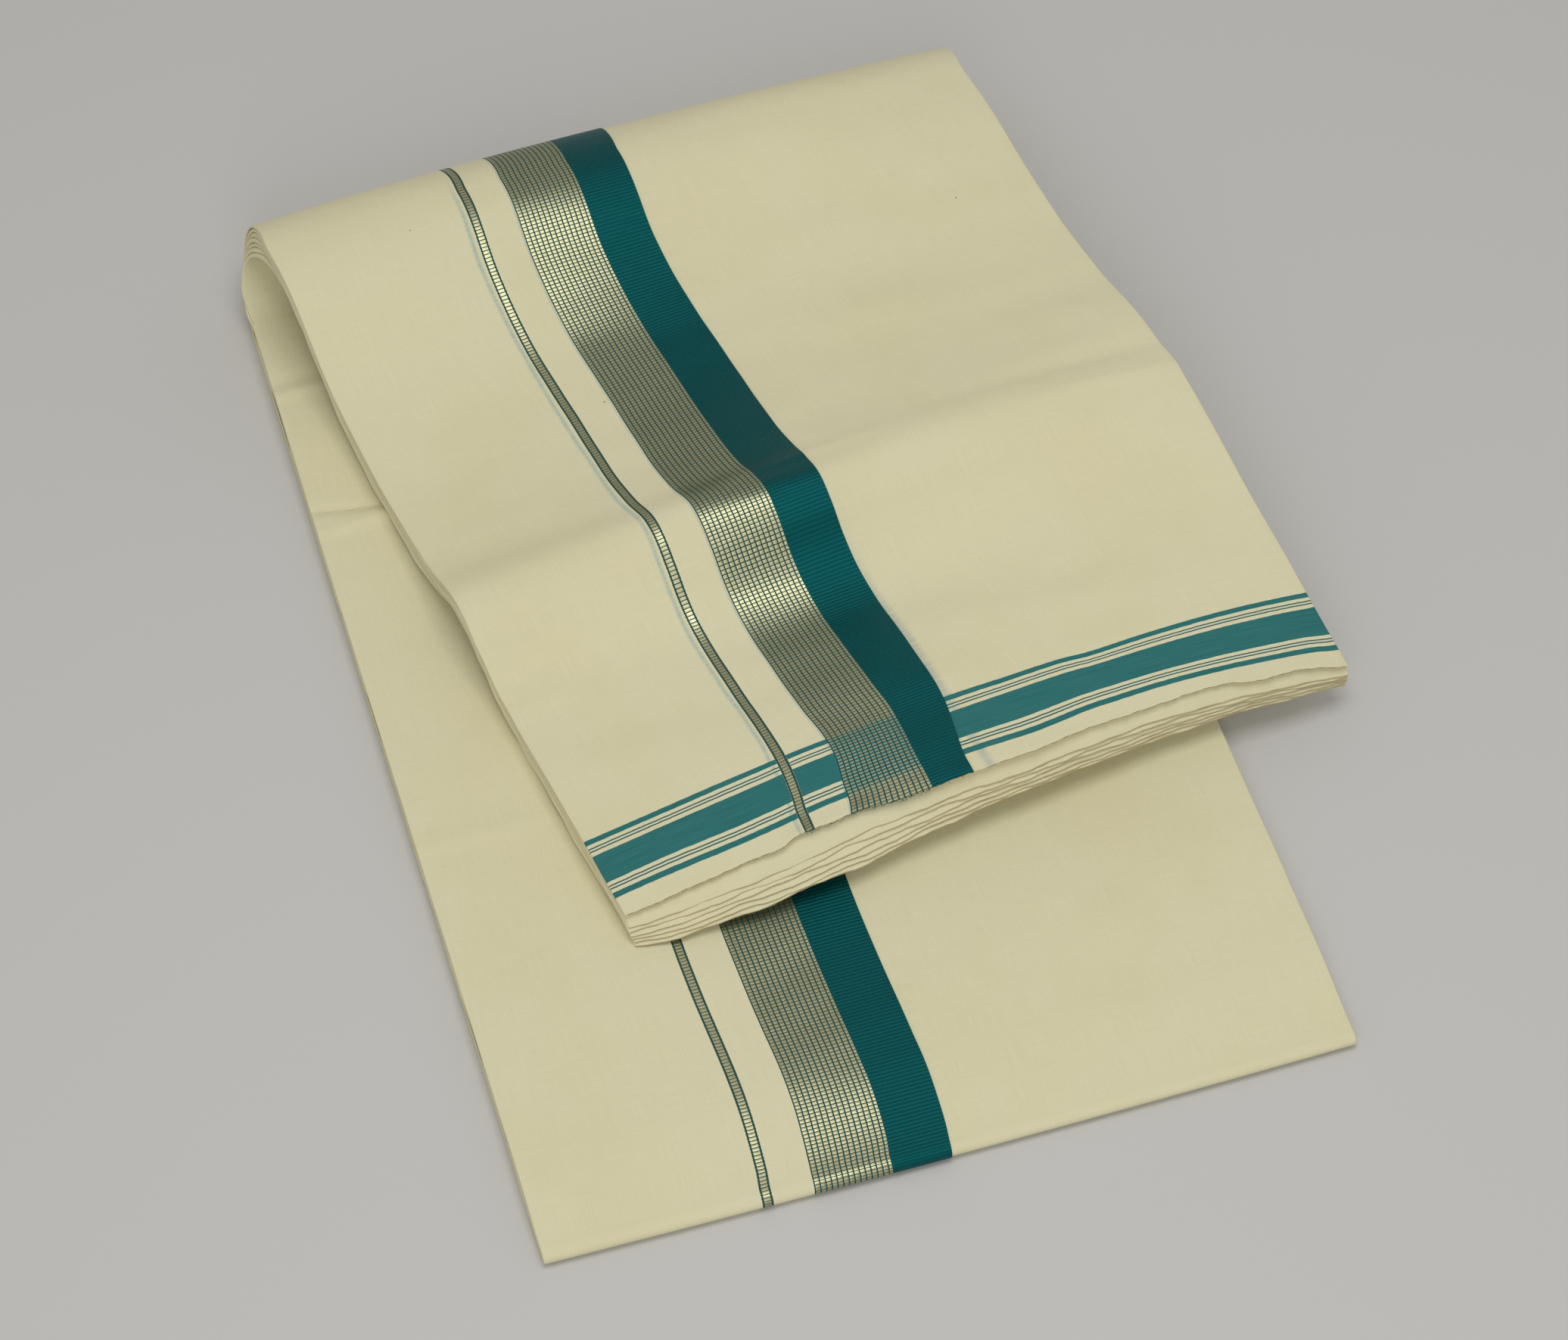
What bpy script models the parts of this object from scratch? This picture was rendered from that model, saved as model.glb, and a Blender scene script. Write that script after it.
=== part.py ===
"""A folded dhoti: one length of cream cotton with a teal and zari border, as closed solids.

The cloth is folded across and along into a long packet of many layers. The packet's lower stretch
lies flat, the packet loops over at the back, and its upper stretch lies back over the lower one,
turned a few degrees, with its cut end on top. Metres, +Z up. The front fold lies along X.

Places along the upper stretch and the loop are measured back from the cut end, and places along the
lower stretch are measured back from the front fold. Depth is measured into the packet from the face
that shows.
"""
import math

import bmesh
import bpy
from mathutils import Vector

MM = 0.001
COLLECTION = "folded_dhoti"

# Driving dimensions of the packet
PACKET_WIDTH = 254 * MM
LOWER_STACK = 7.5 * MM
LOOP_STACK = 10.6 * MM
UPPER_STACK = 9.6 * MM
LOOSENING = 110 * MM
FRONT_BOW = 1.0 * MM
BOW_REACH = 90 * MM

# The loop, whose axis lies a little further back at the right than at the left
AXIS_LEFT = 365 * MM
AXIS_RIGHT = 377 * MM
LOOP_RADIUS = {"left": 23.5 * MM, "middle": 24.6 * MM, "right": 22.5 * MM}
LOOP_LEAN = 3.0 * MM
LOOP_END_TURN = math.radians(165)
CROWN_SHARPNESS = 4

# The upper stretch in plan: its two corners at the cut end, and the turn of its edges
END_LEFT = (53.6 * MM, 95.6 * MM)
END_RIGHT = (296.4 * MM, 117.8 * MM)
TURN_LEFT = math.radians(9.6)
TURN_RIGHT = math.radians(9.3)
LOOP_SHARE = 0.86

# At the cut end the leaves are slack, so the stack is thicker in the middle of its width
END_SLACK = 4.5 * MM
SLACK_REACH = 70 * MM

# Woven bands of the border leaf: where each begins and ends across the packet
LINE_START = 66.4 * MM
LINE_END = 69.8 * MM
ZARI_START = 81.9 * MM
ZARI_END = 106.6 * MM
SELVAGE = 124.4 * MM

# Broad woven stripe, measured back from the cut end
STRIPE_START = 13.4 * MM
STRIPE_END = 23.6 * MM

# Walls, seams and layered edges
LEAF_WALL = 0.9 * MM
FIELD_DROP = 0.3 * MM
SEAM = 0.3 * MM
HIDDEN_LEAVES = 5
GROOVE = 0.55 * MM
END_GROOVE = 1.1 * MM
LEAST_REACH = 0.2 * MM
NOSE_TURNS = (150, 120, 90, 60, 30)

# Rows down the edge of a hidden leaf, as shares of its thickness. The first is in the groove above it.
EDGE_ROWS = (0.0, 0.25, 0.75)

# Facets along each length, and the angle from which an edge is sharp
FLAT_FACETS = 4
LOOSE_FACETS = 5
STRIPE_FACETS = 2
WAVE_FACETS = 24
CREST_FACETS = 4
BEND_FACETS = 11
SHARP_ANGLE = math.radians(40)

# Height of the upper stretch's face above the ground, in millimetres, down a row for each place.
# It is given at the left edge, at the selvage of the border leaf and at the right edge.
UPPER_FORM = (
    {"back": 0, "left": 17.5, "selvage": 31.0, "right": 20.6},
    {"back": 14, "left": 18.0, "selvage": 31.5, "right": 23.5},
    {"back": 30, "left": 18.6, "selvage": 32.0, "right": 27.5},
    {"back": 48, "left": 18.2, "selvage": 31.6, "right": 31.5},
    {"back": 64, "left": 17.7, "selvage": 29.8, "right": 34.8},
    {"back": 78, "left": 17.7, "selvage": 28.8, "right": 38.2},
    {"back": 90, "left": 18.2, "selvage": 30.8, "right": 41.2},
    {"back": 99, "left": 19.8, "selvage": 35.6, "right": 43.6},
    {"back": 108, "left": 23.6, "selvage": 43.0, "right": 45.7},
    {"back": 119, "left": 29.0, "selvage": 47.6, "right": 47.4},
    {"back": 134, "left": 27.0, "selvage": 43.4, "right": 46.6},
    {"back": 150, "left": 21.4, "selvage": 38.4, "right": 44.0},
    {"back": 172, "left": 19.2, "selvage": 34.2, "right": 40.2},
    {"back": 200, "left": 20.4, "selvage": 32.8, "right": 38.6},
    {"back": 224, "left": 23.6, "selvage": 35.4, "right": 39.8},
    {"back": 240, "left": 30.0, "selvage": 40.0, "right": 41.0},
    {"back": 256, "left": 40.0, "selvage": 46.0, "right": 42.6},
    {"back": 273, "left": 47.0, "selvage": 49.2, "right": 45.0},
)

# How far each hidden leaf stands forward of the cut edge on top, in millimetres, from the top down
END_LEAVES = (
    {"left": 0.8, "middle": 2.0, "right": 0.4},
    {"left": 2.2, "middle": 3.6, "right": 0.5},
    {"left": 3.6, "middle": 5.0, "right": 0.6},
    {"left": 5.2, "middle": 6.4, "right": 0.8},
    {"left": 6.8, "middle": 7.6, "right": 1.0},
)

# The leaves on the packet's face and the bands woven in them, from the left fold to the right one
BANDS = (
    {"name": "fold_leaf", "start": 0.0, "end": LINE_START, "columns": 3, "finish": "cotton"},
    {"name": "zari_line", "start": LINE_START, "end": LINE_END, "columns": 1, "finish": "zari"},
    {"name": "plain_gap", "start": LINE_END, "end": ZARI_START, "columns": 1, "finish": "cotton"},
    {"name": "zari_band", "start": ZARI_START, "end": ZARI_END, "columns": 1, "finish": "zari"},
    {"name": "teal_band", "start": ZARI_END, "end": SELVAGE, "columns": 1, "finish": "teal"},
    {"name": "field_leaf", "start": SELVAGE, "end": PACKET_WIDTH, "columns": 4, "finish": "cotton"},
)
STRIPED = ("fold_leaf", "plain_gap", "field_leaf")

FINISHES = {
    "cotton": {"colour": (0.80, 0.76, 0.58), "roughness": 0.9, "metallic": 0.0},
    "zari": {"colour": (0.52, 0.47, 0.30), "roughness": 0.45, "metallic": 0.6},
    "teal": {"colour": (0.01, 0.16, 0.18), "roughness": 0.8, "metallic": 0.0},
    "stripe": {"colour": (0.06, 0.27, 0.29), "roughness": 0.85, "metallic": 0.0},
}

UPPER_LENGTH = (AXIS_LEFT - END_LEFT[1]) / math.cos(TURN_LEFT)
LOOP_LENGTH = math.pi * LOOP_RADIUS["left"]


def smooth_step(value):
    """Ease from 0 to 1."""
    value = min(max(value, 0.0), 1.0)
    return value * value * (3 - 2 * value)


def mix(start, end, share):
    return start + (end - start) * share


def bulge(share):
    """0 at both edges of the packet and 1 in the middle."""
    return 4 * share * (1 - share)


def spread(start, end, count):
    """Evenly spaced values from start to end."""
    return [mix(start, end, i / count) for i in range(count + 1)]


def read_form(column, back):
    """A column of the upper stretch's form at a place, on a smooth curve through the rows."""
    places = [row["back"] * MM for row in UPPER_FORM]
    heights = [row[column] * MM for row in UPPER_FORM]
    if back <= places[0]:
        return heights[0]
    if back >= places[-1]:
        return heights[-1]
    last = len(places) - 1

    def slope(row):
        if row == last:
            return 0.0
        before = max(row - 1, 0)
        return (heights[row + 1] - heights[before]) / (places[row + 1] - places[before])

    row = max(k for k in range(last) if places[k] <= back)
    span = places[row + 1] - places[row]
    t = (back - places[row]) / span
    return ((2 * t ** 3 - 3 * t ** 2 + 1) * heights[row] + (t ** 3 - 2 * t ** 2 + t) * span * slope(row)
            + (3 * t ** 2 - 2 * t ** 3) * heights[row + 1] + (t ** 3 - t ** 2) * span * slope(row + 1))


def through_three(left, middle, right, share, middle_share):
    """A value across the packet, on the parabola through its left, middle and right."""
    lift = (middle - mix(left, right, middle_share)) / (middle_share * (1 - middle_share))
    return mix(left, right, share) + lift * share * (1 - share)


def upper_plan(back, share):
    """Plan point of the upper stretch, at a place back from its cut end and a share of its width."""
    edges = []
    for corner, axis, turn in ((END_LEFT, AXIS_LEFT, TURN_LEFT), (END_RIGHT, AXIS_RIGHT, TURN_RIGHT)):
        reach = (axis - corner[1]) * back / UPPER_LENGTH
        edges.append(Vector((corner[0] - reach * math.tan(turn), corner[1] + reach)))
    return edges[0].lerp(edges[1], share)


def upper_stack(back, across):
    """Thickness of the upper stretch and the loop, looser towards the back and at the cut end."""
    loosened = smooth_step((back - UPPER_LENGTH + LOOSENING) / LOOSENING)
    share = across / PACKET_WIDTH
    slack = END_SLACK * bulge(share) * (1 - smooth_step(back / SLACK_REACH))
    return mix(UPPER_STACK, LOOP_STACK, loosened) + slack


def lower_stack(back, across=0.0):
    """Thickness of the lower stretch, which is looser towards the back all across its width."""
    loosened = smooth_step((back - AXIS_LEFT + LOOSENING) / LOOSENING)
    return mix(LOWER_STACK, LOOP_STACK, loosened)


def outer_point(back, across, depth):
    """A point under the face that runs from the cut end over the upper stretch and round the loop."""
    share = across / PACKET_WIDTH
    radius = through_three(LOOP_RADIUS["left"], LOOP_RADIUS["middle"], LOOP_RADIUS["right"], share, 0.5)
    if back <= UPPER_LENGTH:
        plan = upper_plan(back, share)
        height = through_three(read_form("left", back), read_form("selvage", back),
                               read_form("right", back), share, SELVAGE / PACKET_WIDTH)
        rise = smooth_step((back - UPPER_LENGTH) / LOOSENING + 1) ** CROWN_SHARPNESS
        return Vector((plan.x, plan.y, mix(height, 2 * radius, rise) - depth))
    turn = (back - UPPER_LENGTH) / LOOP_LENGTH * math.pi
    crown = upper_plan(UPPER_LENGTH, share)
    foot = Vector((across, mix(AXIS_LEFT, AXIS_RIGHT, share)))
    plan = crown.lerp(foot, smooth_step(turn / math.pi))
    lean = LOOP_LEAN * math.sin(turn) * depth / LOOP_STACK
    return Vector((plan.x - lean, plan.y + (radius - depth) * math.sin(turn),
                   radius + (radius - depth) * math.cos(turn)))


def lower_point(back, across, depth):
    """A point under the lower stretch's upper face. Before 0 the face runs down round the front fold."""
    share = across / PACKET_WIDTH
    bow = FRONT_BOW * bulge(share) * (1 - smooth_step(back / BOW_REACH))
    if back >= 0:
        place = mix(AXIS_LEFT, AXIS_RIGHT, share) * back / AXIS_LEFT
        return Vector((across, place - bow, lower_stack(back) - depth))
    radius = LOWER_STACK / 2
    turn = -back / radius
    return Vector((across, -(radius - depth) * math.sin(turn) - bow,
                   radius + (radius - depth) * math.cos(turn)))


def make_finish(name, kind):
    """The Principled material of one piece."""
    values = FINISHES[kind]
    finish = bpy.data.materials.new(f"{name}_{kind}")
    finish.use_nodes = True
    shader = finish.node_tree.nodes["Principled BSDF"]
    shader.inputs["Base Color"].default_value = (*values["colour"], 1.0)
    shader.inputs["Roughness"].default_value = values["roughness"]
    shader.inputs["Metallic"].default_value = values["metallic"]
    finish.diffuse_color = (*values["colour"], 1.0)
    return finish


def slab(name, point, backs, acrosses, rows, kind):
    """A closed solid lofted through rings, from the face that shows to the one under it.

    Each row is a ring round the solid: its depth, how far it stands out at the two sides, and how
    far it stands out before the first place, which may vary across the packet.
    """
    shape = bmesh.new()
    last_i = len(backs) - 1
    last_j = len(acrosses) - 1

    def vertex(i, j, row):
        back = backs[i]
        across = acrosses[j]
        if i == 0:
            back -= row["front"](across)
        if j == 0:
            across -= row["side"]
        if j == last_j:
            across += row["side"]
        return shape.verts.new(point(back, across, row["depth"]))

    outline = [(0, j) for j in range(last_j + 1)]
    outline += [(i, last_j) for i in range(1, last_i + 1)]
    outline += [(last_i, j) for j in range(last_j - 1, -1, -1)]
    outline += [(i, 0) for i in range(last_i - 1, 0, -1)]
    rings = [{place: vertex(*place, row) for place in outline} for row in rows]
    for upper, lower in zip(rings, rings[1:]):
        for here, there in zip(outline, outline[1:] + outline[:1]):
            shape.faces.new((upper[here], upper[there], lower[there], lower[here]))
    for row, ring in ((rows[0], rings[0]), (rows[-1], rings[-1])):
        grid = dict(ring)
        for i in range(1, last_i):
            for j in range(1, last_j):
                grid[i, j] = vertex(i, j, row)
        for i in range(last_i):
            for j in range(last_j):
                shape.faces.new((grid[i, j], grid[i, j + 1], grid[i + 1, j + 1], grid[i + 1, j]))
    bmesh.ops.recalc_face_normals(shape, faces=shape.faces)
    mesh = bpy.data.meshes.new(name)
    shape.to_mesh(mesh)
    shape.free()
    mesh.shade_smooth()
    mesh.set_sharp_from_angle(angle=SHARP_ANGLE)
    mesh.materials.append(make_finish(name, kind))
    piece = bpy.data.objects.new(name, mesh)
    bpy.data.collections[COLLECTION].objects.link(piece)
    return piece


def flush(across):
    """An end that stands out nowhere."""
    return 0.0


def nose(share, number, groove):
    """How far a row of the hidden layers stands out at the rounded front fold."""
    radius = LOWER_STACK / 2
    top = LEAF_WALL + SEAM
    drop = mix(top, LOWER_STACK, share) - radius
    reach = math.sqrt(max((radius - top) ** 2 - drop ** 2, 0.0))
    return lambda across: reach


def cut_end(share, number, groove):
    """How far a row of the hidden layers stands out at the cut end, where the leaves are fanned."""
    reaches = [END_LEAVES[number][name] * MM for name in ("left", "middle", "right")]
    sunk = END_GROOVE if groove else 0.0
    return lambda across: max(through_three(*reaches, across / PACKET_WIDTH, 0.5) - sunk, LEAST_REACH)


def square_end(share, number, groove):
    """An end that meets the next stretch at a seam."""
    return flush


def hidden_layers(name, point, stack, backs, front):
    """The hidden layers of one stretch as one solid, with its folded leaves as ridges round its edges."""
    top = LEAF_WALL + SEAM

    def under_leaves(back, across, share):
        return point(back, across, mix(top, stack(back, across), share))

    rows = []
    for number in range(HIDDEN_LEAVES):
        for part in EDGE_ROWS:
            share = (number + part) / HIDDEN_LEAVES
            groove = part == 0.0
            side = -GROOVE if groove else 0.0
            rows.append({"depth": share, "side": side, "front": front(share, number, groove)})
    rows.append({"depth": 1.0, "side": -GROOVE, "front": front(1.0, HIDDEN_LEAVES - 1, True)})
    acrosses = [0.0]
    for band in BANDS:
        acrosses += spread(band["start"], band["end"], band["columns"])[1:]
    return slab(name, under_leaves, backs, acrosses, rows, "cotton")


def leaf(name, point, backs, band, kind):
    """One leaf of the face, or one band woven in it, with a seam at each side and end."""
    left = band["start"] + (SEAM / 2 if band["start"] > 0 else 0.0)
    right = band["end"] - (SEAM / 2 if band["end"] < PACKET_WIDTH else 0.0)
    drop = FIELD_DROP if band["name"] == "field_leaf" else 0.0
    rows = [{"depth": depth, "side": 0.0, "front": flush} for depth in (drop, LEAF_WALL)]
    return slab(name, point, backs, spread(left, right, band["columns"]), rows, kind)


def lower_stretch():
    """The stretch that lies flat, from the front fold to the foot of the loop."""
    loosening = AXIS_LEFT - LOOSENING
    backs = spread(0, loosening, FLAT_FACETS) + spread(loosening, AXIS_LEFT - SEAM, LOOSE_FACETS)[1:]
    hidden_layers("lower_layers", lower_point, lower_stack, backs, nose)
    round_fold = [-LOWER_STACK / 2 * math.radians(turn) for turn in NOSE_TURNS]
    for band in BANDS:
        leaf(f"lower_{band['name']}", lower_point, round_fold + backs, band, band["finish"])


def upper_stretch():
    """The stretch that lies back over the lower one, and the loop between them."""
    seam = LOOP_SHARE * UPPER_LENGTH
    margin = spread(0, STRIPE_START, STRIPE_FACETS)
    stripe = spread(STRIPE_START, STRIPE_END, STRIPE_FACETS)
    wave = spread(STRIPE_END, seam, WAVE_FACETS)
    crest = spread(seam, UPPER_LENGTH, CREST_FACETS)
    bend = spread(UPPER_LENGTH, UPPER_LENGTH + LOOP_LENGTH * LOOP_END_TURN / math.pi, BEND_FACETS)
    foot = UPPER_LENGTH + LOOP_LENGTH - SEAM
    hidden_layers("upper_layers", outer_point, upper_stack,
                  [0.0] + margin + stripe[1:] + wave[1:-1] + [seam - SEAM / 2], cut_end)
    hidden_layers("loop_layers", outer_point, upper_stack,
                  [seam + SEAM / 2] + crest[1:] + bend[1:] + [foot], square_end)
    for band in BANDS:
        name = band["name"]
        body = wave[1:] + crest[1:] + bend[1:]
        if name in STRIPED:
            leaf(f"upper_{name}_margin", outer_point, margin[:-1] + [STRIPE_START - SEAM / 2], band, "cotton")
            leaf(f"upper_{name}_stripe", outer_point,
                 [STRIPE_START + SEAM / 2] + stripe[1:-1] + [STRIPE_END - SEAM / 2], band, "stripe")
            leaf(f"upper_{name}", outer_point, [STRIPE_END + SEAM / 2] + body, band, band["finish"])
        else:
            leaf(f"upper_{name}", outer_point, margin + stripe[1:] + body, band, band["finish"])


def stand_on_origin():
    """Parent the pieces to an empty, placed so that the middle of the underside is at the origin."""
    pieces = list(bpy.data.collections[COLLECTION].objects)
    corners = [vertex.co for piece in pieces for vertex in piece.data.vertices]
    low = Vector([min(corner[axis] for corner in corners) for axis in range(3)])
    high = Vector([max(corner[axis] for corner in corners) for axis in range(3)])
    holder = bpy.data.objects.new("packet_origin", None)
    holder.location = (-(low.x + high.x) / 2, -(low.y + high.y) / 2, -low.z)
    bpy.data.collections[COLLECTION].objects.link(holder)
    for piece in pieces:
        piece.parent = holder
    bpy.context.view_layer.update()


def main():
    for old in list(bpy.data.objects):
        bpy.data.objects.remove(old, do_unlink=True)
    collection = bpy.data.collections.new(COLLECTION)
    bpy.context.scene.collection.children.link(collection)
    lower_stretch()
    upper_stretch()
    stand_on_origin()


main()
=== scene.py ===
"""A folded dhoti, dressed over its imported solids: woven leaves, bands and frayed ends on a plain floor.

The cloth is one long packet of many layers. Every leaf is a thin shell on the form of its solid. Places
along the upper stretch and the loop are measured back from the cut end, and places along the lower
stretch are measured back from the front fold. Depth is measured into the packet from the face.
"""
import math

import bmesh
import bpy
import numpy as np
from bpy.props import FloatProperty, FloatVectorProperty, IntProperty, PointerProperty
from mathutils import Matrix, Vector


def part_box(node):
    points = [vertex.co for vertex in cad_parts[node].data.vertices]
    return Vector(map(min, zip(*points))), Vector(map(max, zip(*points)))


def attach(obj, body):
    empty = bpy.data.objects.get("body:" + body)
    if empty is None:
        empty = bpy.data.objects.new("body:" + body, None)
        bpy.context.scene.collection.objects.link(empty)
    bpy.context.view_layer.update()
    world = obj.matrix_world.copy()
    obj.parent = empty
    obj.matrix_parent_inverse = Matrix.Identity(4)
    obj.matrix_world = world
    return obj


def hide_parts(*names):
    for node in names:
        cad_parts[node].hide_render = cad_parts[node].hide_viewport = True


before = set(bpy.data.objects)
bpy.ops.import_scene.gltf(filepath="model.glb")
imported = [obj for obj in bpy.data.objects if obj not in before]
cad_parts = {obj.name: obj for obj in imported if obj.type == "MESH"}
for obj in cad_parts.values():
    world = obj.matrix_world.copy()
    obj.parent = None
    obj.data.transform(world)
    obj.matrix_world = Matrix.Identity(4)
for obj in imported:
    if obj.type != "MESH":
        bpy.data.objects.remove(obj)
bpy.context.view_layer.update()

bl_info = {
    "name": "Folded Dhoti",
    "version": (1, 0, 0),
    "blender": (4, 5, 0),
    "location": "3D View > Sidebar > Dhoti",
    "description": "Woven leaves, zari and teal bands, frayed ends and soft light for a folded dhoti",
    "category": "Object",
}

MM = 0.001
BODY = "root"
PLACE_MAP = "cloth_place"


def table(columns, *rows):
    """Rows of a table, with the names of its columns given once."""
    return [dict(zip(columns.split(), row, strict=True)) for row in rows]


# The form of the packet, as its solids have it
PACKET_WIDTH = 254 * MM
LOWER_STACK = 7.5 * MM
LOOP_STACK = 10.6 * MM
UPPER_STACK = 9.6 * MM
LOOSENING = 110 * MM
FRONT_BOW = 1.0 * MM
BOW_REACH = 90 * MM
FRONT_PRESS = 0.34
PRESS_REACH = 31 * MM
AXIS_LEFT = 365 * MM
AXIS_RIGHT = 377 * MM
LOOP_RADIUS = {"left": 23.5 * MM, "middle": 24.6 * MM, "right": 22.5 * MM}
LOOP_LEAN = 3.0 * MM
CROWN_SHARPNESS = 4
END_LEFT = (53.6 * MM, 95.6 * MM)
END_RIGHT = (296.4 * MM, 117.8 * MM)
TURN_LEFT = math.radians(9.6)
TURN_RIGHT = math.radians(9.3)
END_SLACK = 4.5 * MM
SLACK_REACH = 70 * MM
SOLID_SEAM = 0.3 * MM

# Woven bands of the border leaf: where each begins and ends across the packet
LINE_START = 66.4 * MM
LINE_END = 69.8 * MM
ZARI_START = 81.9 * MM
ZARI_END = 106.6 * MM
SELVAGE = 124.4 * MM

# End stripes: how far back from the cut end each lies, and where the weave is straight again
THIN_STRIPE = 7.3 * MM
STRIPE_START = 13.4 * MM
STRIPE_END = 23.6 * MM
FAR_STRIPE = 30.0 * MM
STRAIGHT_WEAVE = 52.0 * MM

# Height of the upper face above the floor at the left edge, the selvage and the right edge, in millimetres
UPPER_FORM = table(
    "back left selvage right",
    (0, 17.5, 31.0, 20.6),
    (14, 18.0, 31.5, 23.5),
    (30, 18.6, 32.0, 27.5),
    (48, 18.2, 31.6, 31.5),
    (64, 17.7, 29.8, 34.8),
    (78, 17.7, 28.8, 38.2),
    (90, 18.2, 30.8, 41.2),
    (99, 19.8, 35.6, 43.6),
    (108, 23.6, 43.0, 45.7),
    (119, 29.0, 47.6, 47.4),
    (134, 27.0, 43.4, 46.6),
    (150, 21.4, 38.4, 44.0),
    (172, 19.2, 34.2, 40.2),
    (200, 20.4, 32.8, 38.6),
    (224, 23.6, 35.4, 39.8),
    (240, 30.0, 40.0, 41.0),
    (256, 40.0, 46.0, 42.6),
    (273, 47.0, 49.2, 45.0),
)

# Small creases, in millimetres: a line from the left edge to the right one, how high it stands above
# the face (or lies below it), how wide it is towards the cut end and away from it, and how far across
# the packet it runs. They are the ones that the solids are too plain for.
UPPER_CREASES = table(
    "left right high fore aft start end fade",
    (127, 119, 0.9, 5, 7, -10, 100, 30),
    (139, 131, -0.8, 5, 8, -10, 120, 40),
    (102, 108, 1.0, 5, 6, -10, 50, 35),
    (109, 104, -0.5, 3, 4, -10, 70, 30),
    (84, 92, 0.6, 4, 5, -10, 22, 22),
    (97, 52, -0.5, 9, 10, 60, 254, 60),
    (84, 40, 0.5, 8, 10, 110, 254, 60),
    (126, 118, 0.7, 3, 4, 205, 262, 45),
    (139, 130, -0.8, 4, 6, 190, 262, 60),
    (132, 126, 0.5, 2.5, 4, 100, 150, 25),
    (245, 241, -2.4, 17, 13, 36, 200, 70),
    (270, 267, 1.1, 10, 12, 36, 200, 70),
    (203, 178, 0.4, 10, 12, 120, 254, 50),
    (176, 168, -0.4, 8, 10, 0, 110, 40),
)
LOWER_CREASES = table(
    "left right high fore aft start end fade",
    (283.4, 236, -0.9, 0.8, 1.6, -10, 26, 18),
    (279, 240, 0.7, 3.2, 2.0, -10, 30, 20),
    (273.5, 273.5, 0.8, 1.6, 3.0, -10, 30, 22),
    (332, 330, 0.7, 2.0, 3.5, -10, 34, 22),
    (338, 336, -0.5, 3.0, 3.0, -10, 34, 22),
    (144.5, 144, 0.6, 2.2, 9.0, -10, 44, 26),
    (150, 149, -0.4, 5.0, 8.0, -10, 44, 26),
)

# Where creases and unevenness fade out: how far from an end of the face the fading starts, and its reach
CUT_END_CALM = (-4 * MM, 10 * MM)
LOOP_FOOT_CALM = (12 * MM, 30 * MM)
FRONT_CALM = (-2 * MM, 8 * MM)
LOWER_FOOT_CALM = (0.0, 14 * MM)

# Slow waves of the whole face: their length and height, in millimetres
SOFT_WAVES = ((74, 0.16), (47, 0.12), (31, 0.08), (19, 0.045))
LOWER_SOFTNESS = 0.7

# How far the lowest leaf stands forward of the cut edge on top, in millimetres
FAN_REACH = table(
    "across reach",
    (0, 5.6),
    (14, 9.0),
    (40, 10.8),
    (57, 10.5),
    (79, 9.2),
    (107, 6.1),
    (134, 4.3),
    (162, 2.5),
    (190, 0.9),
    (218, 0.6),
    (245, 1.3),
    (254, 1.3),
)
# How far down the pile each hidden leaf ends at the cut end, as a share: its end hangs over the next leaf
LEAF_TIPS = (0.38, 0.51, 0.63, 0.75, 0.86, 0.94)

# How far the border's edges lie to the right of their straight lines, in millimetres
UPPER_DRIFT = table(
    "back line zari teal selvage",
    (0, -4.7, -4.4, -1.3, -4.8),
    (6, -3.9, -2.2, -0.8, -4.4),
    (10, -3.4, -1.5, -0.6, -3.8),
    (14, -2.4, -0.6, -0.3, -2.9),
    (20, -1.4, 0.9, 0.3, -1.6),
    (26, -0.7, 1.7, 0.8, -0.3),
    (34, -0.2, 1.7, 1.0, 0.5),
    (45, -0.1, 0.6, 0.2, 0.6),
    (80, -0.5, 0.1, -0.5, 0.5),
    (100, -0.6, 0.0, -0.8, -0.1),
    (120, -0.1, 0.3, -0.3, 0.2),
    (145, -0.6, -0.5, -1.2, -0.3),
    (185, 0.1, 0.5, -0.5, 0.6),
    (238, -1.2, -0.8, -1.5, -0.9),
    (270, 1.4, 1.7, 0.9, 1.3),
    (290, 0.7, 1.0, 0.0, 1.1),
    (320, 0.0, 0.0, 0.0, 0.0),
)
LOWER_DRIFT = table(
    "back line zari teal selvage",
    (-14, 0.0, 0.0, 0.0, 0.0),
    (0, 0.2, 0.9, 0.2, 1.1),
    (6, 1.0, 1.5, 1.2, 1.8),
    (14, 1.5, 2.1, 1.8, 2.2),
    (24, 1.8, 2.5, 1.9, 2.3),
    (38, 1.6, 2.2, 1.2, 1.6),
    (54, 0.7, 1.1, 0.3, 0.8),
    (70, -0.3, 0.3, -0.4, 0.1),
    (90, -0.8, -0.4, -1.0, -0.5),
    (130, 0.0, 0.0, 0.0, 0.0),
)

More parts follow.
